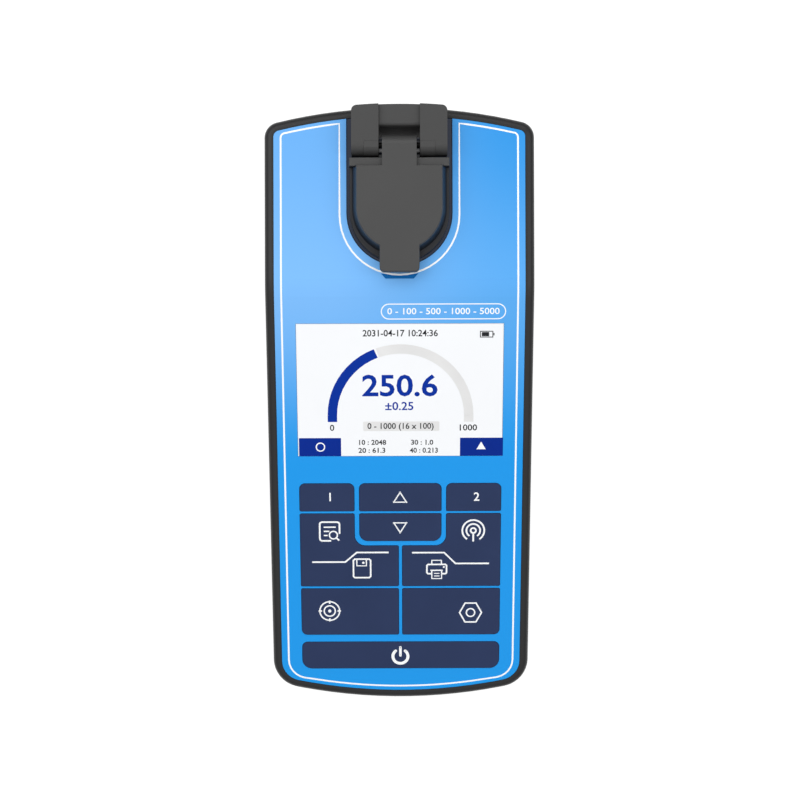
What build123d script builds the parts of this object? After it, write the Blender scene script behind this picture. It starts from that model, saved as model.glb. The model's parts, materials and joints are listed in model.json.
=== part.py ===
from build123d import *
import math
import os

# Body: a flat head at the rear and a face that slopes down towards the user
HEAD_HEIGHT = 70.0
HEAD_LENGTH = 63.7
SLOPE_DEG = 14.5
SIDE_BORDER = 11.0
FRONT_BORDER = 11.8
BEND_RADIUS = 25.0
REAR_ARC_R = 184.6
FRONT_ARC_R = 190.0
REAR_CORNER_R = 5.6
FRONT_CORNER_R = 10.8
SHOULDER_R = 2.6
WALL = 3.0
FLOOR = 2.5
BASE_HEIGHT = 1.5
SPLIT_HEIGHT = 20.0
SEAM_CHAMFER = 0.35

# Fits between pieces
FILM_GAP = 0.12
KEY_GAP = 0.15
SLIP = 0.05
ASSEMBLY_GAP = 0.2

# Blue face film and the black border round it
BEZEL = 3.2
FRONT_BEZEL = 2.8
RECESS = 0.5
FILM_TOP = 0.05

# Display
SCREEN_HALF_WIDTH = 36.7
SCREEN_START = 12.8
SCREEN_LENGTH = 48.6
WINDOW_THICKNESS = 1.45
WINDOW_LEDGE = 1.5
LCD_THICKNESS = 2.8
LCD_FRAME_THICKNESS = 1.0
LCD_FRAME_RIM = 2.0

# Keypad, measured down the slope from the bend
KEYPAD_DROP = 10.4
KEYPAD_HALF_WIDTH = 36.5
ARROW_HALF_WIDTH = 14.85
SMALL_KEY_HEIGHT = 10.45
ARROW_ROW_GAP = 1.0
COLUMN_GAP = 1.9
CENTRE_GAP = 1.4
VIEW_KEY_HEIGHT = 28.0
ROW_GAP = 1.0
SETTINGS_KEY_HEIGHT = 18.1
POWER_KEY_DROP = 3.0
POWER_KEY_HEIGHT = 10.5
KEY_CORNER_R = 0.5
KEY_OUTER_R = 2.0
ARROW_LOWER_R = 3.0
KEY_NOTCH_R = 4.0
POWER_LOWER_R = 3.5
KEY_PROUD = 0.1
KEY_FLANGE = 0.4
KEY_FLANGE_THICKNESS = 0.8
KEY_STEM_R = 1.6
KEY_STEM_LENGTH = 0.6
KEY_TRAVEL = 0.35

# Switches and keypad board
SWITCH_SIZE = 6.0
SWITCH_HEIGHT = 3.5
PLUNGER_R = 1.7
PLUNGER_SHOW = 0.9
PLUNGER_DEPTH = 0.9
BOARD_THICKNESS = 1.6
KEYPAD_BOARD_MARGIN = 3.0

# Well for one round vial
WELL_TO_HINGE = 23.1
WELL_BORE_R = 8.15
WELL_WIDTH = 30.0
WELL_FLOOR = 4.0
WELL_FOOT_WIDTH = 42.0
WELL_FOOT_THICKNESS = 3.0
PEDESTAL_HEIGHT = 4.0
LIGHT_PATH_Z = 32.0
LIGHT_HOLE_R = 2.6
APERTURE_R = 1.5
APERTURE_WALL = 1.35
OPTIC_THICKNESS = 1.0

# Collar round the mouth of the well
COLLAR_HALF_WIDTH = 18.5
COLLAR_BODY_HALF_WIDTH = 16.8
COLLAR_TOP_DROP = 0.1
COLLAR_DEPTH = 4.0
COLLAR_MOUTH_R = 9.0
COLLAR_REAR_INSET = 7.2
COLLAR_CHAMFER = 0.15

# Hinge and lid
HINGE_INSET = 14.2
HINGE_RISE = 3.5
KNUCKLE_R = 3.5
PIN_R = 1.0
EAR_INNER = 7.2
EAR_OUTER = 16.7
EAR_CORNER_R = 1.9
BUSH_INNER = 7.3
BUSH_OUTER = 12.4
BUSH_R = 3.65
BRIDGE_RISE = 5.3
BRIDGE_LENGTH = 7.7
BRIDGE_EDGE_R = 1.3
BRIDGE_CURVE_R = 3.2
PIT_RADIUS = 4.5
LID_HALF_WIDTH = 17.5
LID_GAP = 0.3
LID_RIM_THICKNESS = 2.0
LID_PLATE_HALF_WIDTH = 14.9
LID_PLATE_SHIFT = 1.3
LID_PLATE_TO_HINGE = 7.2
LID_SHELF_TO_HINGE = 4.3
LID_SHELF_RISE = 1.4
LID_SKIRT = 1.6
LID_EDGE_R = 0.4
LID_WALL = 2.0
TONGUE_HALF_WIDTH = 6.0
TONGUE_R = 3.5
TAB_HALF_WIDTH = 6.95
TAB_REACH = 21.2
TAB_CORNER_R = 1.65
TAB_THICKNESS = 4.2
SEAL_LAND = 0.6
SEAL_WIDTH = 1.8
SEAL_THICKNESS = 1.2
SCOOP_HALF_WIDTH = 6.6
SCOOP_END_HALF_WIDTH = 5.0
SCOOP_REACH = 1.9
SCOOP_DEPTH = 0.25

# Screws
SCREW_R = 1.45
SCREW_HEAD_R = 2.8
SCREW_HEAD_HEIGHT = 2.0
BOSS_R = 3.8
HOUSING_SCREW_SIDE_INSET = 6.3
HOUSING_SCREW_REAR_INSET = 19.2
HOUSING_SCREW_FRONT_INSET = 23.2
HOUSING_SCREW_LENGTH = 21.0
SMALL_SCREW_R = 0.95
SMALL_HEAD_R = 1.9
SMALL_HEAD_HEIGHT = 1.2
SMALL_SCREW_LENGTH = 5.0

# Feet
FOOT_R = 5.0
FOOT_SINK = 0.6
FOOT_SIDE_INSET = 13.5
FOOT_REAR_INSET = 13.2
FOOT_FRONT_INSET = 15.2

# Seal between the housings
HOUSING_SEAL_WIDTH = 1.0
HOUSING_SEAL_DEPTH = 1.0

# Battery bay
CELL_R = 9.1
CELL_LENGTH = 65.0
BAY_TO_BEND = 35.5
BAY_WALL = 1.6
BAY_CLEARANCE = 0.5
CONTACT_THICKNESS = 0.8
DOOR_LEDGE = 2.0
DOOR_THICKNESS = 1.4
BATTERY_PAD_THICKNESS = 1.0

# Main board and charging board
STANDOFF_HEIGHT = 5.0
STANDOFF_R = 2.6
MAIN_BOARD_TO_BAY = 0.7
MAIN_BOARD_LENGTH = 81.0
MAIN_BOARD_HALF_WIDTH = 33.0
PROCESSOR_SIZE = 14.0
MEMORY_SIZE = 10.0
CONVERTER_SIZE = 7.0
CHIP_HEIGHT = 1.4
CHIP_MARGIN = 12.0
BUZZER_R = 4.5
BUZZER_HEIGHT = 4.5
BOARD_SCREW_INSET = 4.0
CHARGE_BOARD_HALF_WIDTH = 11.0
CHARGE_BOARD_LENGTH = 15.0
SOCKET_WIDTH = 8.9
SOCKET_HEIGHT = 3.2
SOCKET_LENGTH = 7.4
SOCKET_WALL = 0.35
RIBBON_THICKNESS = 0.3
RIBBON_WIDTH = 18.0
RIBBON_PITCH = 12.0
RIBBON_SOCKET_DEPTH = 3.6
RIBBON_SOCKET_HEIGHT = 2.4

# Rows down the slope
SCREEN_END = SCREEN_START + SCREEN_LENGTH
KEYPAD_START = SCREEN_END + KEYPAD_DROP
SMALL_KEY_END = KEYPAD_START + SMALL_KEY_HEIGHT
SECOND_ROW = SMALL_KEY_END + ARROW_ROW_GAP
ARROW_END = SECOND_ROW + SMALL_KEY_HEIGHT
NOTCH_END = ARROW_END + COLUMN_GAP
PLACE_KEY_INNER = ARROW_HALF_WIDTH + COLUMN_GAP
VIEW_KEY_END = SECOND_ROW + VIEW_KEY_HEIGHT
SETTINGS_START = VIEW_KEY_END + ROW_GAP
SETTINGS_END = SETTINGS_START + SETTINGS_KEY_HEIGHT
POWER_START = SETTINGS_END + POWER_KEY_DROP
POWER_END = POWER_START + POWER_KEY_HEIGHT
FACE_LENGTH = POWER_END + FRONT_BORDER

# Overall size and the places that follow from it
SLOPE = math.radians(SLOPE_DEG)
BEND_TANGENT = BEND_RADIUS * math.tan(SLOPE / 2)
BODY_WIDTH = 2 * (KEYPAD_HALF_WIDTH + SIDE_BORDER)
BODY_LENGTH = HEAD_LENGTH + FACE_LENGTH * math.cos(SLOPE)
REAR_Y = BODY_LENGTH / 2
FRONT_Y = -BODY_LENGTH / 2
BEND_Y = REAR_Y - HEAD_LENGTH
HINGE_Y = REAR_Y - HINGE_INSET
WELL_Y = HINGE_Y - WELL_TO_HINGE
COLLAR_REAR_Y = REAR_Y - COLLAR_REAR_INSET
BRIDGE_FRONT_Y = REAR_Y - BRIDGE_LENGTH
LID_PLATE_Y = WELL_Y + LID_PLATE_SHIFT
LID_PLATE_REAR_Y = HINGE_Y - LID_PLATE_TO_HINGE
TAB_END_Y = WELL_Y - TAB_REACH
SCOOP_END_Y = TAB_END_Y - SCOOP_REACH
BAY_Y = BEND_Y - BAY_TO_BEND
FLOOR_TOP = BASE_HEIGHT + FLOOR
HINGE_Z = HEAD_HEIGHT + HINGE_RISE
LID_TOP = HINGE_Z + KNUCKLE_R
COLLAR_TOP = HEAD_HEIGHT - COLLAR_TOP_DROP
COLLAR_BOTTOM = HEAD_HEIGHT - COLLAR_DEPTH
LID_BOTTOM = COLLAR_TOP + LID_GAP
SEAL_INNER_R = COLLAR_MOUTH_R + SEAL_LAND
RIM_TOP = LID_BOTTOM + LID_RIM_THICKNESS
FACE = Plane(origin=(0, BEND_Y, HEAD_HEIGHT), x_dir=(1, 0, 0), z_dir=(0, -math.sin(SLOPE), math.cos(SLOPE)))

os.makedirs("parts", exist_ok=True)


def save(name, shape):
    """Write one node, as a solid or as a group of separate solids."""
    solids = shape if isinstance(shape, list) else list(shape.solids())
    piece = solids[0] if len(solids) == 1 else Compound(children=solids)
    piece.label = name
    export_step(piece, f"parts/{name}.step")


def block(x_low, x_high, y_low, y_high, z_low, z_high):
    """Box between two corners."""
    size = Box(x_high - x_low, y_high - y_low, z_high - z_low)
    return Pos((x_low + x_high) / 2, (y_low + y_high) / 2, (z_low + z_high) / 2) * size


def upright(x, y, z_low, z_high, radius):
    """Upright cylinder between two heights."""
    return Pos(x, y, (z_low + z_high) / 2) * Cylinder(radius, z_high - z_low)


def crosswise(x_low, x_high, y, z, radius):
    """Cylinder along X."""
    return Pos((x_low + x_high) / 2, y, z) * Rot(0, 90, 0) * Cylinder(radius, x_high - x_low)


def plan_outline(inset, front_inset=None):
    """Body outline seen from above, drawn in by an inset."""
    front = inset if front_inset is None else front_inset
    shape = Rectangle(BODY_WIDTH - 2 * inset, 2 * BODY_LENGTH)
    shape = shape & (Pos(0, REAR_Y - REAR_ARC_R) * Circle(REAR_ARC_R - inset))
    shape = shape & (Pos(0, FRONT_Y + FRONT_ARC_R) * Circle(FRONT_ARC_R - front))
    rear_corners = shape.vertices().sort_by(Axis.Y)[-2:]
    shape = fillet(rear_corners, max(REAR_CORNER_R - inset, 1.0))
    front_corners = shape.vertices().sort_by(Axis.Y)[:2]
    return fillet(front_corners, max(FRONT_CORNER_R - inset, 1.0))


def under_face(y, depth):
    """Height of the sloping face, or of a layer under it, at a place along the body."""
    return HEAD_HEIGHT - (BEND_Y - y) * math.tan(SLOPE) - depth / math.cos(SLOPE)


def under_profile(depth, bottom, half_width=BODY_WIDTH):
    """Everything under the head and slope, down to a height, with the faces lowered by a depth."""
    far = BODY_LENGTH
    radius = BEND_RADIUS - depth
    centre_y = BEND_Y + BEND_TANGENT
    centre_z = HEAD_HEIGHT - BEND_RADIUS
    head_end = Vector(0, centre_y, centre_z + radius)
    middle = Vector(0, centre_y - radius * math.sin(SLOPE / 2), centre_z + radius * math.cos(SLOPE / 2))
    slope_start = Vector(0, centre_y - radius * math.sin(SLOPE), centre_z + radius * math.cos(SLOPE))
    head_far = Vector(0, far, HEAD_HEIGHT - depth)
    slope_far = Vector(0, -far, under_face(-far, depth))
    floor = min(bottom, slope_far.Z - 1.0)
    lines = [
        Line(head_far, head_end),
        ThreePointArc(head_end, middle, slope_start),
        Line(slope_start, slope_far),
        Line(slope_far, Vector(0, -far, floor)),
        Line(Vector(0, -far, floor), Vector(0, far, floor)),
        Line(Vector(0, far, floor), head_far),
    ]
    solid = extrude(Face(Wire(lines)), amount=half_width, dir=(1, 0, 0), both=True)
    return solid & block(-half_width, half_width, -far, far, bottom, LID_TOP)


def body_solid(inset, depth, bottom, front_inset=None):
    """Body shape, drawn in and lowered evenly."""
    column = extrude(plan_outline(inset, front_inset), amount=LID_TOP)
    return column & under_profile(depth, bottom)


def u_outline(half_width, centre_y, rear_y):
    """U that is round towards the user and open to the rear."""
    straight = Pos(0, (centre_y + rear_y) / 2) * Rectangle(2 * half_width, rear_y - centre_y)
    return Pos(0, centre_y) * Circle(half_width) + straight


def raised(sketch, z_low, z_high):
    """Extrude a plan sketch between two heights."""
    return Pos(0, 0, z_low) * extrude(sketch, amount=z_high - z_low)


def on_face(sketch, low, high):
    """Extrude a sketch drawn on the slope between two heights above the slope."""
    return FACE * Pos(0, 0, low) * extrude(sketch, amount=high - low)


def face_box(x_low, x_high, down_low, down_high, low, high):
    """Box whose sides follow the slope."""
    return FACE * block(x_low, x_high, -down_high, -down_low, low, high)


def face_post(x, down, low, high, radius):
    """Cylinder square to the slope."""
    return FACE * upright(x, -down, low, high, radius)


def screw(x, y, head_z, length, radius, head_r, head_height, points_up=True):
    """Plain screw with its head face at a height."""
    sign = 1 if points_up else -1
    head_end = head_z + sign * head_height
    tip = head_end + sign * length
    head = upright(x, y, min(head_z, head_end), max(head_z, head_end), head_r)
    shank = upright(x, y, min(head_end, tip), max(head_end, tip), radius)
    socket = upright(x, y, head_z - head_height / 2, head_z + head_height / 2, head_r / 2)
    return (head + shank) - socket


def corners(x, rear_y, front_y):
    """Four places, two at the rear and two at the front."""
    return [(side * x, y) for y in (rear_y, front_y) for side in (-1, 1)]


# Key outlines, drawn on the slope with X across and Y up the slope

def round_corner(sketch, x, down, radius):
    """Round the corner nearest to a place."""
    corner = sketch.vertices().sort_by_distance((x, -down, 0))[0]
    return fillet(corner, radius)


def key_rectangle(x_low, x_high, down_low, down_high):
    """Plain key outline."""
    centre = Pos((x_low + x_high) / 2, -(down_low + down_high) / 2)
    return centre * Rectangle(x_high - x_low, down_high - down_low)


def rounded_key(x_low, x_high, down_low, down_high, top_left, top_right, low_left, low_right):
    """Key outline with its own radius at each corner."""
    sketch = key_rectangle(x_low, x_high, down_low, down_high)
    sketch = round_corner(sketch, x_low, down_low, top_left)
    sketch = round_corner(sketch, x_high, down_low, top_right)
    sketch = round_corner(sketch, x_low, down_high, low_left)
    return round_corner(sketch, x_high, down_high, low_right)


def place_key(side):
    """Small key in the top row, to one side of the arrows."""
    inner, outer = side * PLACE_KEY_INNER, side * KEYPAD_HALF_WIDTH
    left, right = min(inner, outer), max(inner, outer)
    return rounded_key(left, right, KEYPAD_START, SMALL_KEY_END, KEY_OUTER_R, KEY_OUTER_R, KEY_CORNER_R, KEY_CORNER_R)


def view_key(side):
    """Large key with a notch that goes round the arrows."""
    inner, outer = side * CENTRE_GAP / 2, side * KEYPAD_HALF_WIDTH
    left, right = min(inner, outer), max(inner, outer)
    sketch = key_rectangle(left, right, SECOND_ROW, VIEW_KEY_END)
    sketch = sketch - key_rectangle(-PLACE_KEY_INNER, PLACE_KEY_INNER, KEYPAD_START, NOTCH_END)
    sketch = round_corner(sketch, side * PLACE_KEY_INNER, NOTCH_END, KEY_NOTCH_R)
    for x, down in ((side * PLACE_KEY_INNER, SECOND_ROW), (outer, SECOND_ROW), (inner, NOTCH_END)):
        sketch = round_corner(sketch, x, down, KEY_CORNER_R)
    for x in (inner, outer):
        sketch = round_corner(sketch, x, VIEW_KEY_END, KEY_CORNER_R)
    return sketch


def settings_key(side):
    """Key in the lower row."""
    inner, outer = side * CENTRE_GAP / 2, side * KEYPAD_HALF_WIDTH
    left, right = min(inner, outer), max(inner, outer)
    low_left = KEY_OUTER_R if side < 0 else KEY_CORNER_R
    low_right = KEY_CORNER_R if side < 0 else KEY_OUTER_R
    return rounded_key(
        left, right, SETTINGS_START, SETTINGS_END, KEY_CORNER_R, KEY_CORNER_R, low_left, low_right
    )


KEY_SHAPES = {
    "key_place_1": place_key(-1),
    "key_place_2": place_key(1),
    "key_up": rounded_key(
        -ARROW_HALF_WIDTH, ARROW_HALF_WIDTH, KEYPAD_START, SMALL_KEY_END,
        KEY_OUTER_R, KEY_OUTER_R, KEY_CORNER_R, KEY_CORNER_R,
    ),
    "key_down": rounded_key(
        -ARROW_HALF_WIDTH, ARROW_HALF_WIDTH, SECOND_ROW, ARROW_END,
        KEY_CORNER_R, KEY_CORNER_R, ARROW_LOWER_R, ARROW_LOWER_R,
    ),
    "key_view": view_key(-1),
    "key_link": view_key(1),
    "key_calibrate": settings_key(-1),
    "key_settings": settings_key(1),
    "key_power": rounded_key(
        -KEYPAD_HALF_WIDTH, KEYPAD_HALF_WIDTH, POWER_START, POWER_END,
        KEY_OUTER_R, KEY_OUTER_R, POWER_LOWER_R, POWER_LOWER_R,
    ),
}

# Each switch stands under the middle of its key
OUTER_COLUMN_X = (PLACE_KEY_INNER + KEYPAD_HALF_WIDTH) / 2
HALF_KEY_X = (CENTRE_GAP / 2 + KEYPAD_HALF_WIDTH) / 2
TOP_ROW_DOWN = (KEYPAD_START + SMALL_KEY_END) / 2
DOWN_ROW_DOWN = (SECOND_ROW + ARROW_END) / 2
VIEW_ROW_DOWN = (NOTCH_END + VIEW_KEY_END) / 2
SETTINGS_ROW_DOWN = (SETTINGS_START + SETTINGS_END) / 2
POWER_ROW_DOWN = (POWER_START + POWER_END) / 2
SWITCH_PLACES = {
    "key_place_1": (-OUTER_COLUMN_X, TOP_ROW_DOWN),
    "key_place_2": (OUTER_COLUMN_X, TOP_ROW_DOWN),
    "key_up": (0.0, TOP_ROW_DOWN),
    "key_down": (0.0, DOWN_ROW_DOWN),
    "key_view": (-HALF_KEY_X, VIEW_ROW_DOWN),
    "key_link": (HALF_KEY_X, VIEW_ROW_DOWN),
    "key_calibrate": (-HALF_KEY_X, SETTINGS_ROW_DOWN),
    "key_settings": (HALF_KEY_X, SETTINGS_ROW_DOWN),
    "key_power": (0.0, POWER_ROW_DOWN),
}

# Heights above the slope, from the face down to the keypad board
FLANGE_TOP = -WALL - KEY_GAP
FLANGE_BOTTOM = FLANGE_TOP - KEY_FLANGE_THICKNESS
STEM_BOTTOM = FLANGE_BOTTOM - KEY_STEM_LENGTH
SWITCH_TOP = STEM_BOTTOM - PLUNGER_SHOW
SWITCH_BOTTOM = SWITCH_TOP - SWITCH_HEIGHT
KEYPAD_BOARD_BOTTOM = SWITCH_BOTTOM - BOARD_THICKNESS
LCD_TOP = -WINDOW_THICKNESS - FILM_TOP - ASSEMBLY_GAP
LCD_BOTTOM = -WALL - LCD_THICKNESS
BATTERY_CENTRE_Z = BASE_HEIGHT + DOOR_THICKNESS + BATTERY_PAD_THICKNESS + CELL_R + SLIP
BAY_HALF_X = CELL_LENGTH / 2 + CONTACT_THICKNESS + BAY_CLEARANCE
BAY_HALF_Y = 2 * CELL_R + BAY_CLEARANCE
BAY_TOP = BATTERY_CENTRE_Z + CELL_R
BOARD_LOW = FLOOR_TOP + STANDOFF_HEIGHT
BOARD_HIGH = BOARD_LOW + BOARD_THICKNESS
WELL_BASE = FLOOR_TOP + PEDESTAL_HEIGHT
WELL_TOP = COLLAR_BOTTOM
CHARGE_WALL_CURVE = CHARGE_BOARD_HALF_WIDTH ** 2 / (2 * (REAR_ARC_R - WALL))
CHARGE_BOARD_REAR_Y = REAR_Y - WALL - CHARGE_WALL_CURVE - ASSEMBLY_GAP
CHARGE_BOARD_FRONT_Y = CHARGE_BOARD_REAR_Y - CHARGE_BOARD_LENGTH
SOCKET_Z = BOARD_HIGH + SOCKET_HEIGHT / 2

MAIN_BOARD_REAR_Y = BAY_Y - BAY_HALF_Y - BAY_WALL - MAIN_BOARD_TO_BAY
MAIN_BOARD_FRONT_Y = MAIN_BOARD_REAR_Y - MAIN_BOARD_LENGTH
HOUSING_SCREWS = corners(
    BODY_WIDTH / 2 - HOUSING_SCREW_SIDE_INSET, REAR_Y - HOUSING_SCREW_REAR_INSET, FRONT_Y + HOUSING_SCREW_FRONT_INSET
)
FEET = corners(BODY_WIDTH / 2 - FOOT_SIDE_INSET, REAR_Y - FOOT_REAR_INSET, FRONT_Y + FOOT_FRONT_INSET)
DISPLAY_RIBBON_Y = MAIN_BOARD_REAR_Y - RIBBON_SOCKET_DEPTH / 2 - MAIN_BOARD_TO_BAY
KEYPAD_RIBBON_Y = DISPLAY_RIBBON_Y - RIBBON_PITCH
MAIN_BOARD_SCREWS = corners(
    MAIN_BOARD_HALF_WIDTH - BOARD_SCREW_INSET,
    MAIN_BOARD_REAR_Y - BOARD_SCREW_INSET,
    MAIN_BOARD_FRONT_Y + BOARD_SCREW_INSET,
)
CHARGE_BOARD_SCREWS = [
    (side * (CHARGE_BOARD_HALF_WIDTH - SMALL_HEAD_R - ASSEMBLY_GAP), CHARGE_BOARD_FRONT_Y + BOARD_SCREW_INSET)
    for side in (-1, 1)
]
WELL_SCREW_X = (WELL_WIDTH + WELL_FOOT_WIDTH) / 4
WELL_SCREWS = corners(WELL_SCREW_X, WELL_Y + WELL_WIDTH / 3, WELL_Y - WELL_WIDTH / 3)
EAR_MIDDLE_X = (BUSH_OUTER + EAR_OUTER) / 2
HINGE_SCREW_X = (EAR_INNER + EAR_OUTER) / 2
HINGE_SCREW_REAR_Y = (BRIDGE_FRONT_Y + HINGE_Y + KNUCKLE_R) / 2
HINGE_SCREWS = [(side * HINGE_SCREW_X, HINGE_SCREW_REAR_Y) for side in (-1, 1)]
DOOR_HALF_X = BAY_HALF_X + DOOR_LEDGE
DOOR_HALF_Y = BAY_HALF_Y + DOOR_LEDGE
DOOR_SCREW_X = DOOR_HALF_X + SMALL_HEAD_R + ASSEMBLY_GAP
DOOR_SCREWS = [(side * DOOR_SCREW_X, BAY_Y) for side in (-1, 1)]
KEYPAD_BOARD_START = KEYPAD_START - KEYPAD_BOARD_MARGIN
KEYPAD_BOARD_END = POWER_END + KEYPAD_BOARD_MARGIN
KEYPAD_SCREW_X = KEYPAD_HALF_WIDTH + KEY_FLANGE + ASSEMBLY_GAP + SMALL_HEAD_R
KEYPAD_BOARD_HALF_WIDTH = KEYPAD_SCREW_X + SMALL_HEAD_R


def scoop_outline():
    """Finger scoop under the lid's tab, seen from above."""
    reach = TAB_END_Y + TAB_CORNER_R
    points = [
        (-SCOOP_HALF_WIDTH, reach), (-SCOOP_HALF_WIDTH, TAB_END_Y), (-SCOOP_END_HALF_WIDTH, SCOOP_END_Y),
        (SCOOP_END_HALF_WIDTH, SCOOP_END_Y), (SCOOP_HALF_WIDTH, TAB_END_Y), (SCOOP_HALF_WIDTH, reach),
    ]
    return make_face(Polyline(*points, close=True))


def socket_outline(grow):
    """Rounded slot of the charging socket, seen from the rear."""
    height = SOCKET_HEIGHT + 2 * grow
    return SlotOverall(SOCKET_WIDTH + 2 * grow, height)


def rearward(sketch, y_low, y_high, z):
    """Extrude an upright sketch along Y."""
    plane = Plane(origin=(0, y_high, z), x_dir=(1, 0, 0), z_dir=(0, -1, 0))
    return plane * extrude(sketch, amount=y_high - y_low)


# Housings

def housing_boss(x, y):
    """Screw boss that hangs from the face of the upper housing."""
    return upright(x, y, SPLIT_HEIGHT, HEAD_HEIGHT, BOSS_R) & body_solid(WALL / 2, WALL / 2, SPLIT_HEIGHT)


def upper_housing():
    """Shell with the head, the sloping face and every opening in them."""
    outer = body_solid(0, 0, SPLIT_HEIGHT)
    top_faces = [f for f in outer.faces() if f.normal_at().Z > 0.5]
    rims = ShapeList([e for f in top_faces for e in f.edges()]).filter_by(Axis.X, reverse=True)
    outer = fillet(rims, SHOULDER_R)
    seam = outer.faces().sort_by(Axis.Z)[0].edges()
    outer = chamfer(seam, SEAM_CHAMFER)
    shell = outer - body_solid(WALL, WALL, 0)
    for x, y in HOUSING_SCREWS:
        shell = shell + housing_boss(x, y)
        shell = shell - upright(x, y, 0, SPLIT_HEIGHT + HOUSING_SCREW_LENGTH * 0.5, SCREW_R + SLIP)
    for x, down in keypad_screw_places():
        shell = shell + keypad_post(x, down)
        shell = shell - face_post(x, down, KEYPAD_BOARD_BOTTOM, -WALL, SMALL_SCREW_R + SLIP)
    recess = body_solid(BEZEL, RECESS, SPLIT_HEIGHT, FRONT_BEZEL)
    above = body_solid(BEZEL, -SHOULDER_R, SPLIT_HEIGHT, FRONT_BEZEL)
    shell = shell - (above - recess)
    for sketch in KEY_SHAPES.values():
        shell = shell - on_face(offset(sketch, KEY_GAP), -2 * WALL, WALL)
    shell = shell - face_box(
        -SCREEN_HALF_WIDTH - FILM_GAP, SCREEN_HALF_WIDTH + FILM_GAP,
        SCREEN_START - FILM_GAP, SCREEN_END + FILM_GAP, -WINDOW_THICKNESS - FILM_TOP, WALL,
    )
    shell = shell - face_box(
        -SCREEN_HALF_WIDTH + WINDOW_LEDGE, SCREEN_HALF_WIDTH - WINDOW_LEDGE,
        SCREEN_START + WINDOW_LEDGE, SCREEN_END - WINDOW_LEDGE, -2 * WALL, WALL,
    )
    mouth = u_outline(COLLAR_BODY_HALF_WIDTH + FILM_GAP, WELL_Y, COLLAR_REAR_Y + FILM_GAP)
    shell = shell - raised(mouth, HEAD_HEIGHT - 2 * WALL, LID_TOP)
    notch = EAR_OUTER + KEY_GAP
    shell = shell - block(-notch, notch, REAR_Y - BEZEL, REAR_Y + BEZEL, HEAD_HEIGHT - WALL, LID_TOP)
    shell = shell - block(-notch, notch, COLLAR_REAR_Y, REAR_Y + BEZEL, HEAD_HEIGHT - RECESS, LID_TOP)
    return shell


def lower_housing():
    """Tray with the floor, battery bay, posts and the socket hole."""
    column = raised(plan_outline(0), BASE_HEIGHT, SPLIT_HEIGHT)
    column = chamfer(column.faces().sort_by(Axis.Z)[0].edges(), SEAM_CHAMFER * 3)
    column = chamfer(column.faces().sort_by(Axis.Z)[-1].edges(), SEAM_CHAMFER)
    tray = column - raised(plan_outline(WALL), FLOOR_TOP, SPLIT_HEIGHT + WALL)
    middle = (WALL - HOUSING_SEAL_WIDTH) / 2
    groove = plan_outline(middle) - plan_outline(middle + HOUSING_SEAL_WIDTH)
    tray = tray - raised(groove, SPLIT_HEIGHT - HOUSING_SEAL_DEPTH, SPLIT_HEIGHT + WALL)
    for x, y in HOUSING_SCREWS:
        post = upright(x, y, BASE_HEIGHT, SPLIT_HEIGHT, BOSS_R) & raised(plan_outline(WALL / 2), 0, SPLIT_HEIGHT)
        tray = tray + (post - raised(groove, SPLIT_HEIGHT - HOUSING_SEAL_DEPTH, SPLIT_HEIGHT + WALL))
        tray = tray - upright(x, y, 0, SPLIT_HEIGHT + WALL, SCREW_R + SLIP)
        tray = tray - upright(x, y, 0, BASE_HEIGHT + 2 * SCREW_HEAD_HEIGHT, SCREW_HEAD_R + SLIP)
    for x, y in FEET:
        tray = tray - upright(x, y, 0, BASE_HEIGHT + FOOT_SINK, FOOT_R + SLIP)
    for x, y in MAIN_BOARD_SCREWS + CHARGE_BOARD_SCREWS:
        tray = tray + upright(x, y, FLOOR_TOP - FLOOR / 2, BOARD_LOW, STANDOFF_R)
        tray = tray - upright(x, y, FLOOR_TOP, BOARD_LOW + FLOOR, SMALL_SCREW_R + SLIP)
    for x, y in WELL_SCREWS:
        tray = tray + upright(x, y, FLOOR_TOP - FLOOR / 2, WELL_BASE, STANDOFF_R)
        tray = tray - upright(x, y, FLOOR_TOP, WELL_BASE + FLOOR, SMALL_SCREW_R + SLIP)
    bay_x, bay_y = BAY_HALF_X + BAY_WALL, BAY_HALF_Y + BAY_WALL
    tray = tray + block(-bay_x, bay_x, BAY_Y - bay_y, BAY_Y + bay_y, FLOOR_TOP - FLOOR / 2, BAY_TOP)
    for x, y in DOOR_SCREWS:
        tray = tray + upright(x, y, FLOOR_TOP - FLOOR / 2, FLOOR_TOP + SMALL_SCREW_LENGTH, STANDOFF_R)
        tray = tray - upright(x, y, 0, FLOOR_TOP + SMALL_SCREW_LENGTH - BAY_WALL, SMALL_SCREW_R + SLIP)
    tray = tray - block(-BAY_HALF_X, BAY_HALF_X, BAY_Y - BAY_HALF_Y, BAY_Y + BAY_HALF_Y, 0, BAY_TOP + WALL)
    tray = tray - raised(door_outline(ASSEMBLY_GAP), 0, BASE_HEIGHT + DOOR_THICKNESS)
    hole = socket_outline(ASSEMBLY_GAP + SLIP)
    tray = tray - rearward(hole, CHARGE_BOARD_REAR_Y - SOCKET_LENGTH, REAR_Y + WALL, SOCKET_Z)
    return tray


def door_outline(grow):
    """Battery door with an ear at each end for its screw."""
    plate = RectangleRounded(2 * (DOOR_HALF_X + grow), 2 * (DOOR_HALF_Y + grow), KEY_OUTER_R)
    ears = SlotOverall(2 * (DOOR_SCREW_X + BOSS_R + grow), 2 * (BOSS_R + grow))
    return Pos(0, BAY_Y) * (plate + ears)


def battery_door():
    """Plate that closes the battery bay, flush with the floor."""
    plate = raised(door_outline(0), BASE_HEIGHT, BASE_HEIGHT + DOOR_THICKNESS)
    for x, y in DOOR_SCREWS:
        plate = plate - upright(x, y, 0, FLOOR_TOP, SMALL_SCREW_R + SLIP)
        plate = plate - upright(x, y, 0, BASE_HEIGHT + SMALL_HEAD_HEIGHT / 2, SMALL_HEAD_R + SLIP)
    return plate


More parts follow.
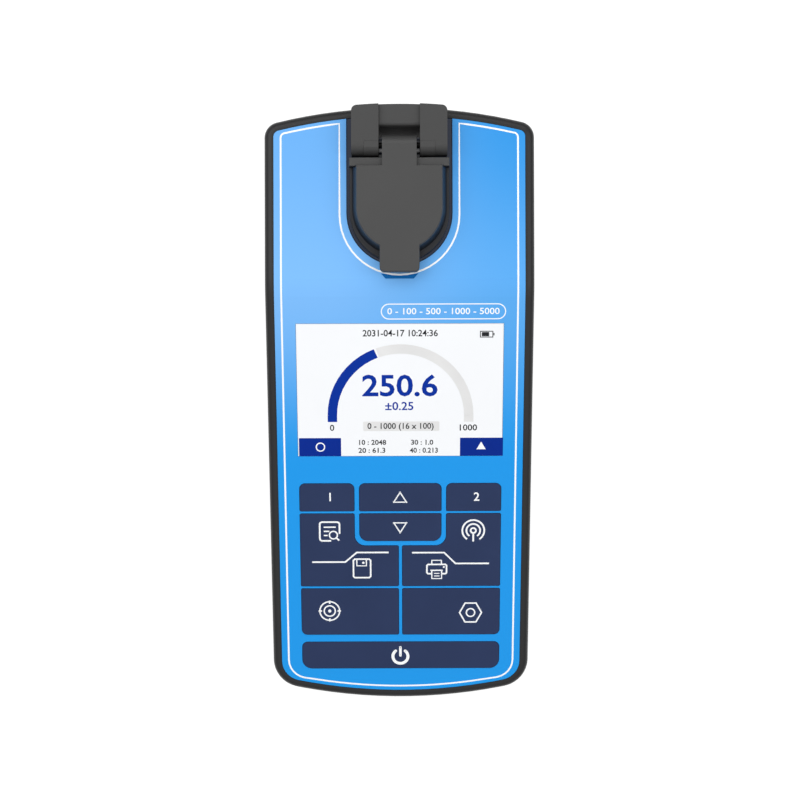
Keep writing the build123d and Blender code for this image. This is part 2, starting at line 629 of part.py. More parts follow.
def housing_seal():
    """Cord seal in the groove between the two housings."""
    inner = (WALL - HOUSING_SEAL_WIDTH) / 2 + SLIP
    ring = plan_outline(inner) - plan_outline(inner + HOUSING_SEAL_WIDTH - 2 * SLIP)
    return raised(ring, SPLIT_HEIGHT - HOUSING_SEAL_DEPTH, SPLIT_HEIGHT)


# Face film, window and keys

def face_overlay():
    """Blue film bent over the break, with openings for the keys, the window and the collar."""
    outline = BEZEL + FILM_GAP
    front = FRONT_BEZEL + FILM_GAP
    film = body_solid(outline, FILM_TOP, SPLIT_HEIGHT, front) - body_solid(0, RECESS, SPLIT_HEIGHT)
    for sketch in KEY_SHAPES.values():
        film = film - on_face(offset(sketch, KEY_GAP), -WALL, WALL)
    film = film - face_box(
        -SCREEN_HALF_WIDTH - FILM_GAP, SCREEN_HALF_WIDTH + FILM_GAP,
        SCREEN_START - FILM_GAP, SCREEN_END + FILM_GAP, -WALL, WALL,
    )
    mouth = u_outline(COLLAR_HALF_WIDTH + KEY_GAP, WELL_Y, REAR_Y + WALL)
    film = film - raised(mouth, HEAD_HEIGHT - WALL, LID_TOP)
    film = film - raised(scoop_outline(), HEAD_HEIGHT - SCOOP_DEPTH, LID_TOP)
    return film


def display_window():
    """Clear pane in the film's opening, on the ledge of the housing."""
    return face_box(
        -SCREEN_HALF_WIDTH, SCREEN_HALF_WIDTH, SCREEN_START, SCREEN_END, -WINDOW_THICKNESS - FILM_TOP, -FILM_TOP
    )


def key_piece(name):
    """Key cap with a flange behind the housing and a stem over its switch."""
    x, down = SWITCH_PLACES[name]
    cap = on_face(KEY_SHAPES[name], FLANGE_TOP, KEY_PROUD)
    flange = on_face(offset(KEY_SHAPES[name], KEY_FLANGE), FLANGE_BOTTOM, FLANGE_TOP)
    return cap + flange + face_post(x, down, STEM_BOTTOM, FLANGE_TOP, KEY_STEM_R)


def switch_plunger(name):
    """Plunger of the switch under one key."""
    x, down = SWITCH_PLACES[name]
    return face_post(x, down, SWITCH_TOP - PLUNGER_DEPTH, STEM_BOTTOM, PLUNGER_R)


def tact_switches():
    """Switch bodies on the keypad board, each with a hole for its plunger."""
    half = SWITCH_SIZE / 2
    bodies = []
    for x, down in SWITCH_PLACES.values():
        body = face_box(x - half, x + half, down - half, down + half, SWITCH_BOTTOM, SWITCH_TOP)
        floor = SWITCH_TOP - PLUNGER_DEPTH - KEY_TRAVEL - ASSEMBLY_GAP
        bodies.append((body - face_post(x, down, floor, 0, PLUNGER_R + SLIP)).solids()[0])
    return bodies


def keypad_screw_places():
    """Places of the keypad board's screws on the slope."""
    return [(side * KEYPAD_SCREW_X, down) for down in (TOP_ROW_DOWN, SETTINGS_ROW_DOWN) for side in (-1, 1)]


def keypad_post(x, down):
    """Post from the underside of the face to the keypad board."""
    return face_post(x, down, SWITCH_BOTTOM, -WALL / 2, SMALL_HEAD_R)


def keypad_board():
    """Board parallel to the slope."""
    board = face_box(
        -KEYPAD_BOARD_HALF_WIDTH, KEYPAD_BOARD_HALF_WIDTH, KEYPAD_BOARD_START, KEYPAD_BOARD_END,
        KEYPAD_BOARD_BOTTOM, SWITCH_BOTTOM,
    )
    board = board & raised(plan_outline(WALL + 2 * ASSEMBLY_GAP), 0, HEAD_HEIGHT)
    for x, y in HOUSING_SCREWS:
        board = board - upright(x, y, 0, HEAD_HEIGHT, BOSS_R + ASSEMBLY_GAP)
    for x, down in keypad_screw_places():
        board = board - face_post(x, down, KEYPAD_BOARD_BOTTOM - WALL, SWITCH_BOTTOM + WALL, SMALL_SCREW_R + SLIP)
    return board


def keypad_screws():
    """Screws that hold the keypad board to the posts."""
    pieces = []
    for x, down in keypad_screw_places():
        head = face_post(x, down, KEYPAD_BOARD_BOTTOM - SMALL_HEAD_HEIGHT, KEYPAD_BOARD_BOTTOM, SMALL_HEAD_R)
        shank = face_post(x, down, KEYPAD_BOARD_BOTTOM, SWITCH_BOTTOM + SMALL_SCREW_LENGTH / 2, SMALL_SCREW_R)
        pieces.append((head + shank).solids()[0])
    return pieces


# Display module

def lcd_module():
    """Glass and backlight behind the window."""
    half = SCREEN_HALF_WIDTH - WINDOW_LEDGE - ASSEMBLY_GAP
    start, end = SCREEN_START + WINDOW_LEDGE + ASSEMBLY_GAP, SCREEN_END - WINDOW_LEDGE - ASSEMBLY_GAP
    return face_box(-half, half, start, end, LCD_BOTTOM, LCD_TOP)


def lcd_frame():
    """Sheet frame behind the display, up against the housing."""
    half = SCREEN_HALF_WIDTH + LCD_FRAME_RIM
    start, end = SCREEN_START - LCD_FRAME_RIM, SCREEN_END + LCD_FRAME_RIM
    low = LCD_BOTTOM - LCD_FRAME_THICKNESS
    shell = face_box(-half, half, start, end, low, -WALL)
    inside = SCREEN_HALF_WIDTH - WINDOW_LEDGE
    return shell - face_box(
        -inside, inside, SCREEN_START + WINDOW_LEDGE, SCREEN_END - WINDOW_LEDGE, LCD_BOTTOM, WALL
    )


# Well, collar and optics

def vial_well():
    """Black block with the vial's bore, the light path across it and a foot."""
    half = WELL_WIDTH / 2
    foot = WELL_FOOT_WIDTH / 2
    body = block(-half, half, WELL_Y - half, WELL_Y + half, WELL_BASE, WELL_TOP)
    body = chamfer(body.edges().filter_by(Axis.Z), KEY_OUTER_R)
    body = body + block(-foot, foot, WELL_Y - half, WELL_Y + half, WELL_BASE, WELL_BASE + WELL_FOOT_THICKNESS)
    body = body - upright(0, WELL_Y, WELL_BASE + WELL_FLOOR, WELL_TOP + WALL, WELL_BORE_R)
    step = WELL_BORE_R + APERTURE_WALL
    body = body - crosswise(-half - WALL, half + WALL, WELL_Y, LIGHT_PATH_Z, APERTURE_R)
    for side in (-1, 1):
        near, far = side * step, side * (half + WALL)
        body = body - crosswise(min(near, far), max(near, far), WELL_Y, LIGHT_PATH_Z, LIGHT_HOLE_R)
        for y in optics_screw_ys():
            tip = side * (half - SMALL_SCREW_LENGTH)
            body = body - crosswise(min(tip, far), max(tip, far), y, LIGHT_PATH_Z, SMALL_SCREW_R + SLIP)
    for x, y in WELL_SCREWS:
        body = body - upright(x, y, 0, WELL_BASE + 2 * WELL_FOOT_THICKNESS, SMALL_SCREW_R + SLIP)
    return body


def optics_screw_ys():
    """Places along Y of the two screws of each optics board."""
    return [WELL_Y + side * WELL_WIDTH / 3 for side in (-1, 1)]


def optic(side):
    """Lens or filter against the step of the light path."""
    near = side * (WELL_BORE_R + APERTURE_WALL)
    far = near + side * OPTIC_THICKNESS
    return crosswise(min(near, far), max(near, far), WELL_Y, LIGHT_PATH_Z, LIGHT_HOLE_R - SLIP)


def lamp(side):
    """Emitter or receiver behind its optic, up to its board."""
    near = side * (WELL_BORE_R + APERTURE_WALL + OPTIC_THICKNESS)
    far = side * WELL_WIDTH / 2
    return crosswise(min(near, far), max(near, far), WELL_Y, LIGHT_PATH_Z, LIGHT_HOLE_R - SLIP)


def optics_board(side):
    """Small upright board on one side of the well."""
    near, far = side * WELL_WIDTH / 2, side * (WELL_WIDTH / 2 + BOARD_THICKNESS)
    half_y = WELL_WIDTH / 2 - ASSEMBLY_GAP
    half_z = WELL_WIDTH / 3
    board = block(
        min(near, far), max(near, far), WELL_Y - half_y, WELL_Y + half_y, LIGHT_PATH_Z - half_z, LIGHT_PATH_Z + half_z
    )
    for y in optics_screw_ys():
        board = board - crosswise(min(near, far) - WALL, max(near, far) + WALL, y, LIGHT_PATH_Z, SMALL_SCREW_R + SLIP)
    return board


def optics_screws():
    """Screws of the two optics boards."""
    pieces = []
    for side in (-1, 1):
        face = side * (WELL_WIDTH / 2 + BOARD_THICKNESS)
        head_end = face + side * SMALL_HEAD_HEIGHT
        tip = face - side * SMALL_SCREW_LENGTH
        for y in optics_screw_ys():
            head = crosswise(min(face, head_end), max(face, head_end), y, LIGHT_PATH_Z, SMALL_HEAD_R)
            shank = crosswise(min(face, tip), max(face, tip), y, LIGHT_PATH_Z, SMALL_SCREW_R)
            pieces.append((head + shank).solids()[0])
    return pieces


def well_collar():
    """U-shaped plate that drops into the head round the mouth of the well."""
    flange_outline = u_outline(COLLAR_HALF_WIDTH, WELL_Y, REAR_Y + WALL) & plan_outline(BEZEL + FILM_GAP)
    flange = raised(flange_outline, HEAD_HEIGHT - RECESS, COLLAR_TOP)
    body = raised(u_outline(COLLAR_BODY_HALF_WIDTH, WELL_Y, COLLAR_REAR_Y), COLLAR_BOTTOM, COLLAR_TOP)
    collar = flange + body
    rim = collar.faces().sort_by(Axis.Z)[-1].outer_wire().edges()
    collar = chamfer(rim, COLLAR_CHAMFER)
    collar = collar - upright(0, WELL_Y, COLLAR_BOTTOM - WALL, COLLAR_TOP + WALL, COLLAR_MOUTH_R)
    pit = crosswise(-EAR_INNER, EAR_INNER, HINGE_Y, HINGE_Z, PIT_RADIUS)
    collar = collar - pit
    for x, y in HINGE_SCREWS:
        collar = collar - upright(x, y, COLLAR_BOTTOM - WALL, COLLAR_TOP + WALL, SCREW_R + SLIP)
    return collar


# Hinge

def ear(side):
    """One ear with a quarter-round front about the pin."""
    inner, outer = side * EAR_INNER, side * EAR_OUTER
    low, high = min(inner, outer), max(inner, outer)
    solid = block(low, high, HINGE_Y, REAR_Y + WALL, COLLAR_TOP, LID_TOP)
    nose = crosswise(low, high, HINGE_Y, HINGE_Z, KNUCKLE_R)
    chin = block(low, high, HINGE_Y - KNUCKLE_R, HINGE_Y, COLLAR_TOP, HINGE_Z)
    return solid + (nose & block(low, high, 0, REAR_Y, COLLAR_TOP, LID_TOP)) + chin


def bush_seat(side, grow, radius):
    """Space of one friction bush in the front of its ear."""
    inner, outer = side * (BUSH_INNER - grow), side * (BUSH_OUTER + grow)
    low, high = min(inner, outer), max(inner, outer)
    nose = crosswise(low, high, HINGE_Y, HINGE_Z, radius)
    chin = block(low, high, HINGE_Y - radius, HINGE_Y + radius, COLLAR_TOP, HINGE_Z)
    return (nose + chin) & block(low, high, 0, REAR_Y, COLLAR_TOP, LID_TOP + grow)


def hinge_block():
    """Ears, the bridge between them and a lip that closes the notch in the shoulder."""
    bridge = block(-EAR_INNER, EAR_INNER, BRIDGE_FRONT_Y, REAR_Y + WALL, COLLAR_TOP, COLLAR_TOP + BRIDGE_RISE)
    top_edges = bridge.edges().filter_by(Axis.X).sort_by(Axis.Z)[-2:]
    bridge = fillet(top_edges.sort_by(Axis.Y)[0], BRIDGE_EDGE_R)
    ramp = block(
        -EAR_INNER, EAR_INNER, BRIDGE_FRONT_Y - BRIDGE_CURVE_R, BRIDGE_FRONT_Y,
        COLLAR_TOP, COLLAR_TOP + BRIDGE_CURVE_R,
    )
    ramp = ramp - crosswise(
        -EAR_OUTER, EAR_OUTER, BRIDGE_FRONT_Y - BRIDGE_CURVE_R, COLLAR_TOP + BRIDGE_CURVE_R, BRIDGE_CURVE_R - SLIP
    )
    lip_front = REAR_Y - BEZEL + KEY_GAP
    lip = block(-EAR_OUTER, EAR_OUTER, lip_front, REAR_Y + WALL, HEAD_HEIGHT - WALL + SLIP, LID_TOP - BRIDGE_RISE / 2)
    solid = ear(-1) + ear(1) + bridge + ramp + lip
    outline = plan_outline(0) & (Pos(0, 0) * Rectangle(2 * EAR_OUTER, 2 * BODY_LENGTH))
    rear_corners = outline.vertices().sort_by(Axis.Y)[-2:]
    outline = fillet(rear_corners, EAR_CORNER_R)
    solid = solid & raised(outline, 0, 2 * HEAD_HEIGHT)
    for side in (-1, 1):
        solid = solid - bush_seat(side, SLIP, BUSH_R + SLIP)
    solid = solid - crosswise(-EAR_MIDDLE_X - SLIP, EAR_MIDDLE_X + SLIP, HINGE_Y, HINGE_Z, PIN_R + SLIP / 2)
    for x, y in HINGE_SCREWS:
        solid = solid - upright(x, y, 0, COLLAR_TOP + SMALL_SCREW_LENGTH + SLIP, SMALL_SCREW_R + SLIP)
    return solid


def friction_bushes():
    """Friction bush in each ear, round the pin."""
    pieces = []
    for side in (-1, 1):
        bush = bush_seat(side, 0, BUSH_R)
        bush = bush - crosswise(-EAR_OUTER, EAR_OUTER, HINGE_Y, HINGE_Z, PIN_R + SLIP / 2)
        pieces.append(bush.solids()[0])
    return pieces


def hinge_pin():
    """Steel pin through both ears and the tongue."""
    return crosswise(-EAR_MIDDLE_X, EAR_MIDDLE_X, HINGE_Y, HINGE_Z, PIN_R)


def hinge_screws():
    """Screws from under the collar into the ears."""
    return [
        screw(
            x, y, COLLAR_BOTTOM - SMALL_HEAD_HEIGHT, COLLAR_DEPTH - COLLAR_TOP_DROP + SMALL_SCREW_LENGTH,
            SMALL_SCREW_R, SMALL_HEAD_R, SMALL_HEAD_HEIGHT,
        ).solids()[0]
        for x, y in HINGE_SCREWS
    ]


# Lid

def lid():
    """Rim, raised plate, tongue to the pin and tab for the finger."""
    rim_rear = HINGE_Y - BUSH_R - LID_GAP
    rim = raised(u_outline(LID_HALF_WIDTH, WELL_Y, rim_rear), LID_BOTTOM, RIM_TOP)
    rim = rounded_top(rim)
    rise = LID_TOP - RIM_TOP
    skirt_angle = math.degrees(math.atan(LID_SKIRT / rise))
    plate_outline = u_outline(LID_PLATE_HALF_WIDTH + LID_SKIRT, LID_PLATE_Y, LID_PLATE_REAR_Y + LID_SKIRT)
    plate = Pos(0, 0, RIM_TOP) * extrude(plate_outline, amount=rise, taper=skirt_angle)
    plate = rounded_top(plate & block(-BODY_WIDTH, BODY_WIDTH, FRONT_Y, LID_PLATE_REAR_Y, RIM_TOP, LID_TOP))
    shelf_front = LID_PLATE_REAR_Y - LID_EDGE_R
    shelf_rear = HINGE_Y - LID_SHELF_TO_HINGE
    shelf = block(-LID_HALF_WIDTH, LID_HALF_WIDTH, shelf_front, shelf_rear, LID_BOTTOM, HINGE_Z + LID_SHELF_RISE)
    shelf = rounded_top(shelf)
    tab_outline = Pos(0, (TAB_END_Y + WELL_Y) / 2) * Rectangle(2 * TAB_HALF_WIDTH, WELL_Y - TAB_END_Y)
    tab_outline = fillet(tab_outline.vertices().sort_by(Axis.Y)[:2], TAB_CORNER_R)
    tab = rounded_top(raised(tab_outline, LID_TOP - TAB_THICKNESS, LID_TOP))
    tongue_end = crosswise(-TONGUE_HALF_WIDTH, TONGUE_HALF_WIDTH, HINGE_Y, HINGE_Z, TONGUE_R)
    tongue = block(-TONGUE_HALF_WIDTH, TONGUE_HALF_WIDTH, WELL_Y, HINGE_Y, LID_BOTTOM, LID_TOP)
    body = rim + plate + shelf + tab + tongue_end + tongue
    hollow = u_outline(LID_PLATE_HALF_WIDTH - LID_WALL, LID_PLATE_Y, LID_PLATE_REAR_Y - LID_WALL)
    hollow = raised(hollow, LID_BOTTOM - WALL, LID_TOP - LID_WALL)
    body = body - hollow
    body = body + raised(seal_ring(SEAL_WIDTH), LID_BOTTOM + SEAL_THICKNESS, LID_TOP - LID_WALL / 2)
    body = body - crosswise(-EAR_OUTER, EAR_OUTER, HINGE_Y, HINGE_Z, PIN_R + SLIP)
    return body


def rounded_top(solid):
    """Round the edges of a solid's top face."""
    return fillet(solid.faces().sort_by(Axis.Z)[-1].edges(), LID_EDGE_R)


def seal_ring(width):
    """Ring under the lid, seen from above."""
    return Pos(0, WELL_Y) * (Circle(SEAL_INNER_R + width) - Circle(SEAL_INNER_R))


def lid_seal():
    """Foam ring that keeps light out of the well."""
    return raised(seal_ring(SEAL_WIDTH), COLLAR_TOP + SLIP, LID_BOTTOM + SEAL_THICKNESS)


# Inside the lower housing

def battery_cells():
    """Two round cells side by side."""
    half = CELL_LENGTH / 2
    return [
        crosswise(-half, half, BAY_Y + side * (CELL_R + SLIP), BATTERY_CENTRE_Z, CELL_R).solids()[0]
        for side in (-1, 1)
    ]


def battery_contacts():
    """Contact plate at each end of the bay."""
    near, far = CELL_LENGTH / 2, CELL_LENGTH / 2 + CONTACT_THICKNESS
    reach = 2 * CELL_R
    return [
        block(
            min(side * near, side * far), max(side * near, side * far), BAY_Y - reach, BAY_Y + reach,
            FLOOR_TOP, BATTERY_CENTRE_Z + CELL_R / 2,
        ).solids()[0]
        for side in (-1, 1)
    ]


def battery_pad():
    """Foam pad between the door and the cells."""
    half = CELL_LENGTH / 2 - WALL
    low = BASE_HEIGHT + DOOR_THICKNESS
    return block(-half, half, BAY_Y - 2 * CELL_R + WALL, BAY_Y + 2 * CELL_R - WALL, low, low + BATTERY_PAD_THICKNESS)


def main_board():
    """Board on the standoffs in front of the battery."""
    half = MAIN_BOARD_HALF_WIDTH
    board = block(-half, half, MAIN_BOARD_FRONT_Y, MAIN_BOARD_REAR_Y, BOARD_LOW, BOARD_HIGH)
    for x, y in MAIN_BOARD_SCREWS:
        board = board - upright(x, y, BOARD_LOW - WALL, BOARD_HIGH + WALL, SMALL_SCREW_R + SLIP)
    return board


def board_chips():
    """Processor, converter and memory packages."""
    x = MAIN_BOARD_HALF_WIDTH - 2 * CHIP_MARGIN
    rear = KEYPAD_RIBBON_Y - CHIP_MARGIN
    front = rear - 2 * CHIP_MARGIN
    places = [
        (-x, rear, PROCESSOR_SIZE), (x, rear, CONVERTER_SIZE), (-x, front, MEMORY_SIZE), (x, front, CONVERTER_SIZE)
    ]
    return [
        block(
            x - size / 2, x + size / 2, y - size / 2, y + size / 2, BOARD_HIGH, BOARD_HIGH + CHIP_HEIGHT
        ).solids()[0]
        for x, y, size in places
    ]


def board_sockets():
    """Ribbon sockets on the main board."""
    half_x, half_y = RIBBON_WIDTH / 2 + SOCKET_WALL, RIBBON_SOCKET_DEPTH / 2
    pieces = []
    for y in (DISPLAY_RIBBON_Y, KEYPAD_RIBBON_Y):
        socket = block(-half_x, half_x, y - half_y, y + half_y, BOARD_HIGH, BOARD_HIGH + RIBBON_SOCKET_HEIGHT)
        pieces.append(socket.solids()[0])
    return pieces


def ribbon(y, depth):
    """Flat cable from a board socket up to a layer under the slope."""
    half_x, half_y = RIBBON_WIDTH / 2, RIBBON_THICKNESS / 2
    strip = block(-half_x, half_x, y - half_y, y + half_y, BOARD_HIGH + RIBBON_SOCKET_HEIGHT, HEAD_HEIGHT)
    return strip & under_profile(depth, 0)


def buzzer():
    """Round sounder on the main board."""
    x = MAIN_BOARD_HALF_WIDTH - 2 * BUZZER_R
    return upright(x, KEYPAD_RIBBON_Y, BOARD_HIGH, BOARD_HIGH + BUZZER_HEIGHT, BUZZER_R)


def charge_board():
    """Small board for the charging socket at the rear wall."""
    half = CHARGE_BOARD_HALF_WIDTH
    board = block(-half, half, CHARGE_BOARD_FRONT_Y, CHARGE_BOARD_REAR_Y, BOARD_LOW, BOARD_HIGH)
    for x, y in CHARGE_BOARD_SCREWS:
        board = board - upright(x, y, BOARD_LOW - WALL, BOARD_HIGH + WALL, SMALL_SCREW_R + SLIP)
    return board


def charge_socket():
    """Flat oval charging socket, open to the rear."""
    shell = rearward(socket_outline(0), CHARGE_BOARD_REAR_Y - SOCKET_LENGTH, REAR_Y - WALL / 2, SOCKET_Z)
    bore = rearward(
        socket_outline(-SOCKET_WALL), CHARGE_BOARD_REAR_Y - SOCKET_LENGTH + WALL / 2, REAR_Y + WALL, SOCKET_Z
    )
    blade = block(
        -SOCKET_WIDTH / 3, SOCKET_WIDTH / 3, CHARGE_BOARD_REAR_Y - SOCKET_LENGTH + WALL / 2,
        REAR_Y - WALL, SOCKET_Z - SOCKET_WALL, SOCKET_Z + SOCKET_WALL,
    )
    return (shell - bore) + blade


def small_screws(places, z):
    """Board screws whose heads sit on a board."""
    return [
        screw(
            x, y, z + SMALL_HEAD_HEIGHT, SMALL_SCREW_LENGTH, SMALL_SCREW_R, SMALL_HEAD_R, SMALL_HEAD_HEIGHT, False
        ).solids()[0]
        for x, y in places
    ]


save("upper_housing", upper_housing())
save("lower_housing", lower_housing())
save("housing_seal", housing_seal())
save("face_overlay", face_overlay())
save("display_window", display_window())
for key_name in KEY_SHAPES:
    save(key_name, key_piece(key_name))
    save(key_name.replace("key_", "plunger_"), switch_plunger(key_name))
save("tact_switches", tact_switches())
save("keypad_board", keypad_board())
save("keypad_screws", keypad_screws())
save("lcd_module", lcd_module())
save("lcd_frame", lcd_frame())
save("vial_well", vial_well())
save("emitter_lens", optic(1))
save("emitter_led", lamp(1))
save("emitter_board", optics_board(1))
save("optical_filter", optic(-1))
save("photodiode", lamp(-1))
save("detector_board", optics_board(-1))
save("optics_screws", optics_screws())
save("well_collar", well_collar())
save("hinge_block", hinge_block())
save("friction_bushes", friction_bushes())
save("hinge_pin", hinge_pin())
save("hinge_screws", hinge_screws())
save("lid", lid())
save("lid_seal", lid_seal())
save("battery_cells", battery_cells())
save("battery_contacts", battery_contacts())
save("battery_pad", battery_pad())
save("battery_door", battery_door())
save("battery_door_screws", [
    screw(
        x, y, BASE_HEIGHT + SMALL_HEAD_HEIGHT / 2 - SMALL_HEAD_HEIGHT, SMALL_SCREW_LENGTH,
        SMALL_SCREW_R, SMALL_HEAD_R, SMALL_HEAD_HEIGHT,
    ).solids()[0]
    for x, y in DOOR_SCREWS
])
save("main_board", main_board())
save("board_chips", board_chips())
save("board_sockets", board_sockets())
save("board_screws", small_screws(MAIN_BOARD_SCREWS + CHARGE_BOARD_SCREWS, BOARD_HIGH) + small_screws(
    WELL_SCREWS, WELL_BASE + WELL_FOOT_THICKNESS
))
save("display_ribbon", ribbon(DISPLAY_RIBBON_Y, -LCD_BOTTOM + LCD_FRAME_THICKNESS + SLIP))
save("keypad_ribbon", ribbon(KEYPAD_RIBBON_Y, -KEYPAD_BOARD_BOTTOM + SLIP))
save("buzzer", buzzer())
save("charge_board", charge_board())
save("charge_socket", charge_socket())
save("feet", [upright(x, y, 0, BASE_HEIGHT + FOOT_SINK, FOOT_R).solids()[0] for x, y in FEET])
save("housing_screws", [
    screw(
        x, y, BASE_HEIGHT + SCREW_HEAD_HEIGHT, HOUSING_SCREW_LENGTH, SCREW_R, SCREW_HEAD_R, SCREW_HEAD_HEIGHT
    ).solids()[0]
    for x, y in HOUSING_SCREWS
])
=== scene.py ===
"""Looks of the portable water analyzer: finishes, printed graphics, screen contents and studio."""

import json
import logging
import math
from dataclasses import dataclass, field
from enum import Enum

import bmesh
import bpy
from mathutils import Matrix, Vector

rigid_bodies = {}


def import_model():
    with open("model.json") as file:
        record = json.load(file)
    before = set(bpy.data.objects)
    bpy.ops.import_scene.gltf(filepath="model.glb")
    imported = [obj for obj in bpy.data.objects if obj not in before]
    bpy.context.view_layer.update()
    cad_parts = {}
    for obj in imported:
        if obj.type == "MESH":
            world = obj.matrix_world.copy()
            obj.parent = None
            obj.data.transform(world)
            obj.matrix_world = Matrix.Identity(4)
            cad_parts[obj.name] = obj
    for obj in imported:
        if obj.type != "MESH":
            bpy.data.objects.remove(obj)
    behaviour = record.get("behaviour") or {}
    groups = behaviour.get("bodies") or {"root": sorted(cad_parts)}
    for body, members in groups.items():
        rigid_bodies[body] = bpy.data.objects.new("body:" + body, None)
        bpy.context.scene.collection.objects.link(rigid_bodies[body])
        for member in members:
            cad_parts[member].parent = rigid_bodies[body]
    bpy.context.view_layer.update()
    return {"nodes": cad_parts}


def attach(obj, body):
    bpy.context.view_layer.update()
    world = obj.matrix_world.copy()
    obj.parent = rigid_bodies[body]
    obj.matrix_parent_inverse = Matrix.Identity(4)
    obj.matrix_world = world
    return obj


LOG = logging.getLogger("analyzer")
MM = 0.001
CLOUD_MM = 18
GRAIN_ROUGHNESS = 0.12
GRAIN_STRENGTH = 0.6
COAT_ROUGHNESS = 0.08
DIGIT_SHARE = 0.73
FULL_TURN = 360


def srgb(hex_colour: str, alpha: float = 1.0) -> tuple[float, float, float, float]:
    """Turn an sRGB hex colour into linear RGBA.

    Args:
        hex_colour: Six hex digits.
        alpha: Opacity.

    Returns:
        Linear red, green, blue and alpha.
    """
    parts = [int(hex_colour[i : i + 2], 16) / 255 for i in (0, 2, 4)]
    linear = [c / 12.92 if c <= 0.04045 else ((c + 0.055) / 1.055) ** 2.4 for c in parts]
    return (*linear, alpha)


def add_node(tree: bpy.types.NodeTree, kind: str, settings: dict | None = None, links: dict | None = None):
    """Add a shader node with its settings and links.

    Args:
        tree: Node tree of a material or world.
        kind: Node type name.
        settings: Attribute or input name to value.
        links: Input name to the output socket that feeds it.

    Returns:
        The new node.
    """
    node = tree.nodes.new(kind)
    for name, value in (settings or {}).items():
        if name in node.inputs:
            node.inputs[name].default_value = value
        else:
            setattr(node, name, value)
    for name, socket in (links or {}).items():
        tree.links.new(socket, node.inputs[name])
    return node


def work_out(
    tree: bpy.types.NodeTree, operation: str, *terms: bpy.types.NodeSocket | float
) -> bpy.types.NodeSocket:
    """Work out a value in a node tree.

    Args:
        tree: Node tree of a material or world.
        operation: Name of the sum, comparison or choice.
        terms: Sockets or plain numbers, in order.

    Returns:
        The value's socket.
    """
    node = add_node(tree, "ShaderNodeMath", {"operation": operation})
    for socket, term in zip(node.inputs, terms):
        if isinstance(term, bpy.types.NodeSocket):
            tree.links.new(term, socket)
        else:
            socket.default_value = term
    return node.outputs[0]


def smooth_fade(
    tree: bpy.types.NodeTree, value: bpy.types.NodeSocket, reach: tuple[float, float],
    levels: tuple[float, float] = (0.0, 1.0),
) -> bpy.types.NodeSocket:
    """Fade softly from one level to another.

    Args:
        tree: Node tree of a material or world.
        value: What the fade follows.
        reach: Values at which it starts and ends.
        levels: Level at the start and at the end.

    Returns:
        The level's socket.
    """
    settings = {
        "From Min": reach[0], "From Max": reach[1], "To Min": levels[0], "To Max": levels[1],
        "interpolation_type": "SMOOTHSTEP",
    }
    return add_node(tree, "ShaderNodeMapRange", settings, {"Value": value}).outputs["Result"]


def mix_colours(
    tree: bpy.types.NodeTree, share: bpy.types.NodeSocket, first: bpy.types.NodeSocket | str,
    second: bpy.types.NodeSocket | str,
) -> bpy.types.NodeSocket:
    """Mix two colours.

    Args:
        tree: Node tree of a material.
        share: Share of the second colour.
        first: Colour socket, or an sRGB hex colour.
        second: Colour socket, or an sRGB hex colour.

    Returns:
        The mixed colour's socket.
    """
    mix = add_node(tree, "ShaderNodeMix", {"data_type": "RGBA"}, {"Factor": share})
    for socket, colour in zip((mix.inputs[6], mix.inputs[7]), (first, second)):
        if isinstance(colour, str):
            socket.default_value = srgb(colour)
        else:
            tree.links.new(colour, socket)
    return mix.outputs[2]


def arc_points(
    x: float, up: float, radius: float, start: float, sweep: float, steps: int, rise: float | None = None
) -> list[tuple[float, float]]:
    """List the points of an arc.

    Args:
        x: Centre across.
        up: Centre up the face.
        radius: Radius across.
        start: Start angle in degrees, counted anticlockwise from +X.
        sweep: Angle from the first point to the last, in degrees.
        steps: Number of steps between the points.
        rise: Radius up the face, where it differs.

    Returns:
        One point more than there are steps.
    """
    turns = [math.radians(start + sweep * i / steps) for i in range(steps + 1)]
    upright = radius if rise is None else rise
    return [(x + radius * math.cos(turn), up + upright * math.sin(turn)) for turn in turns]


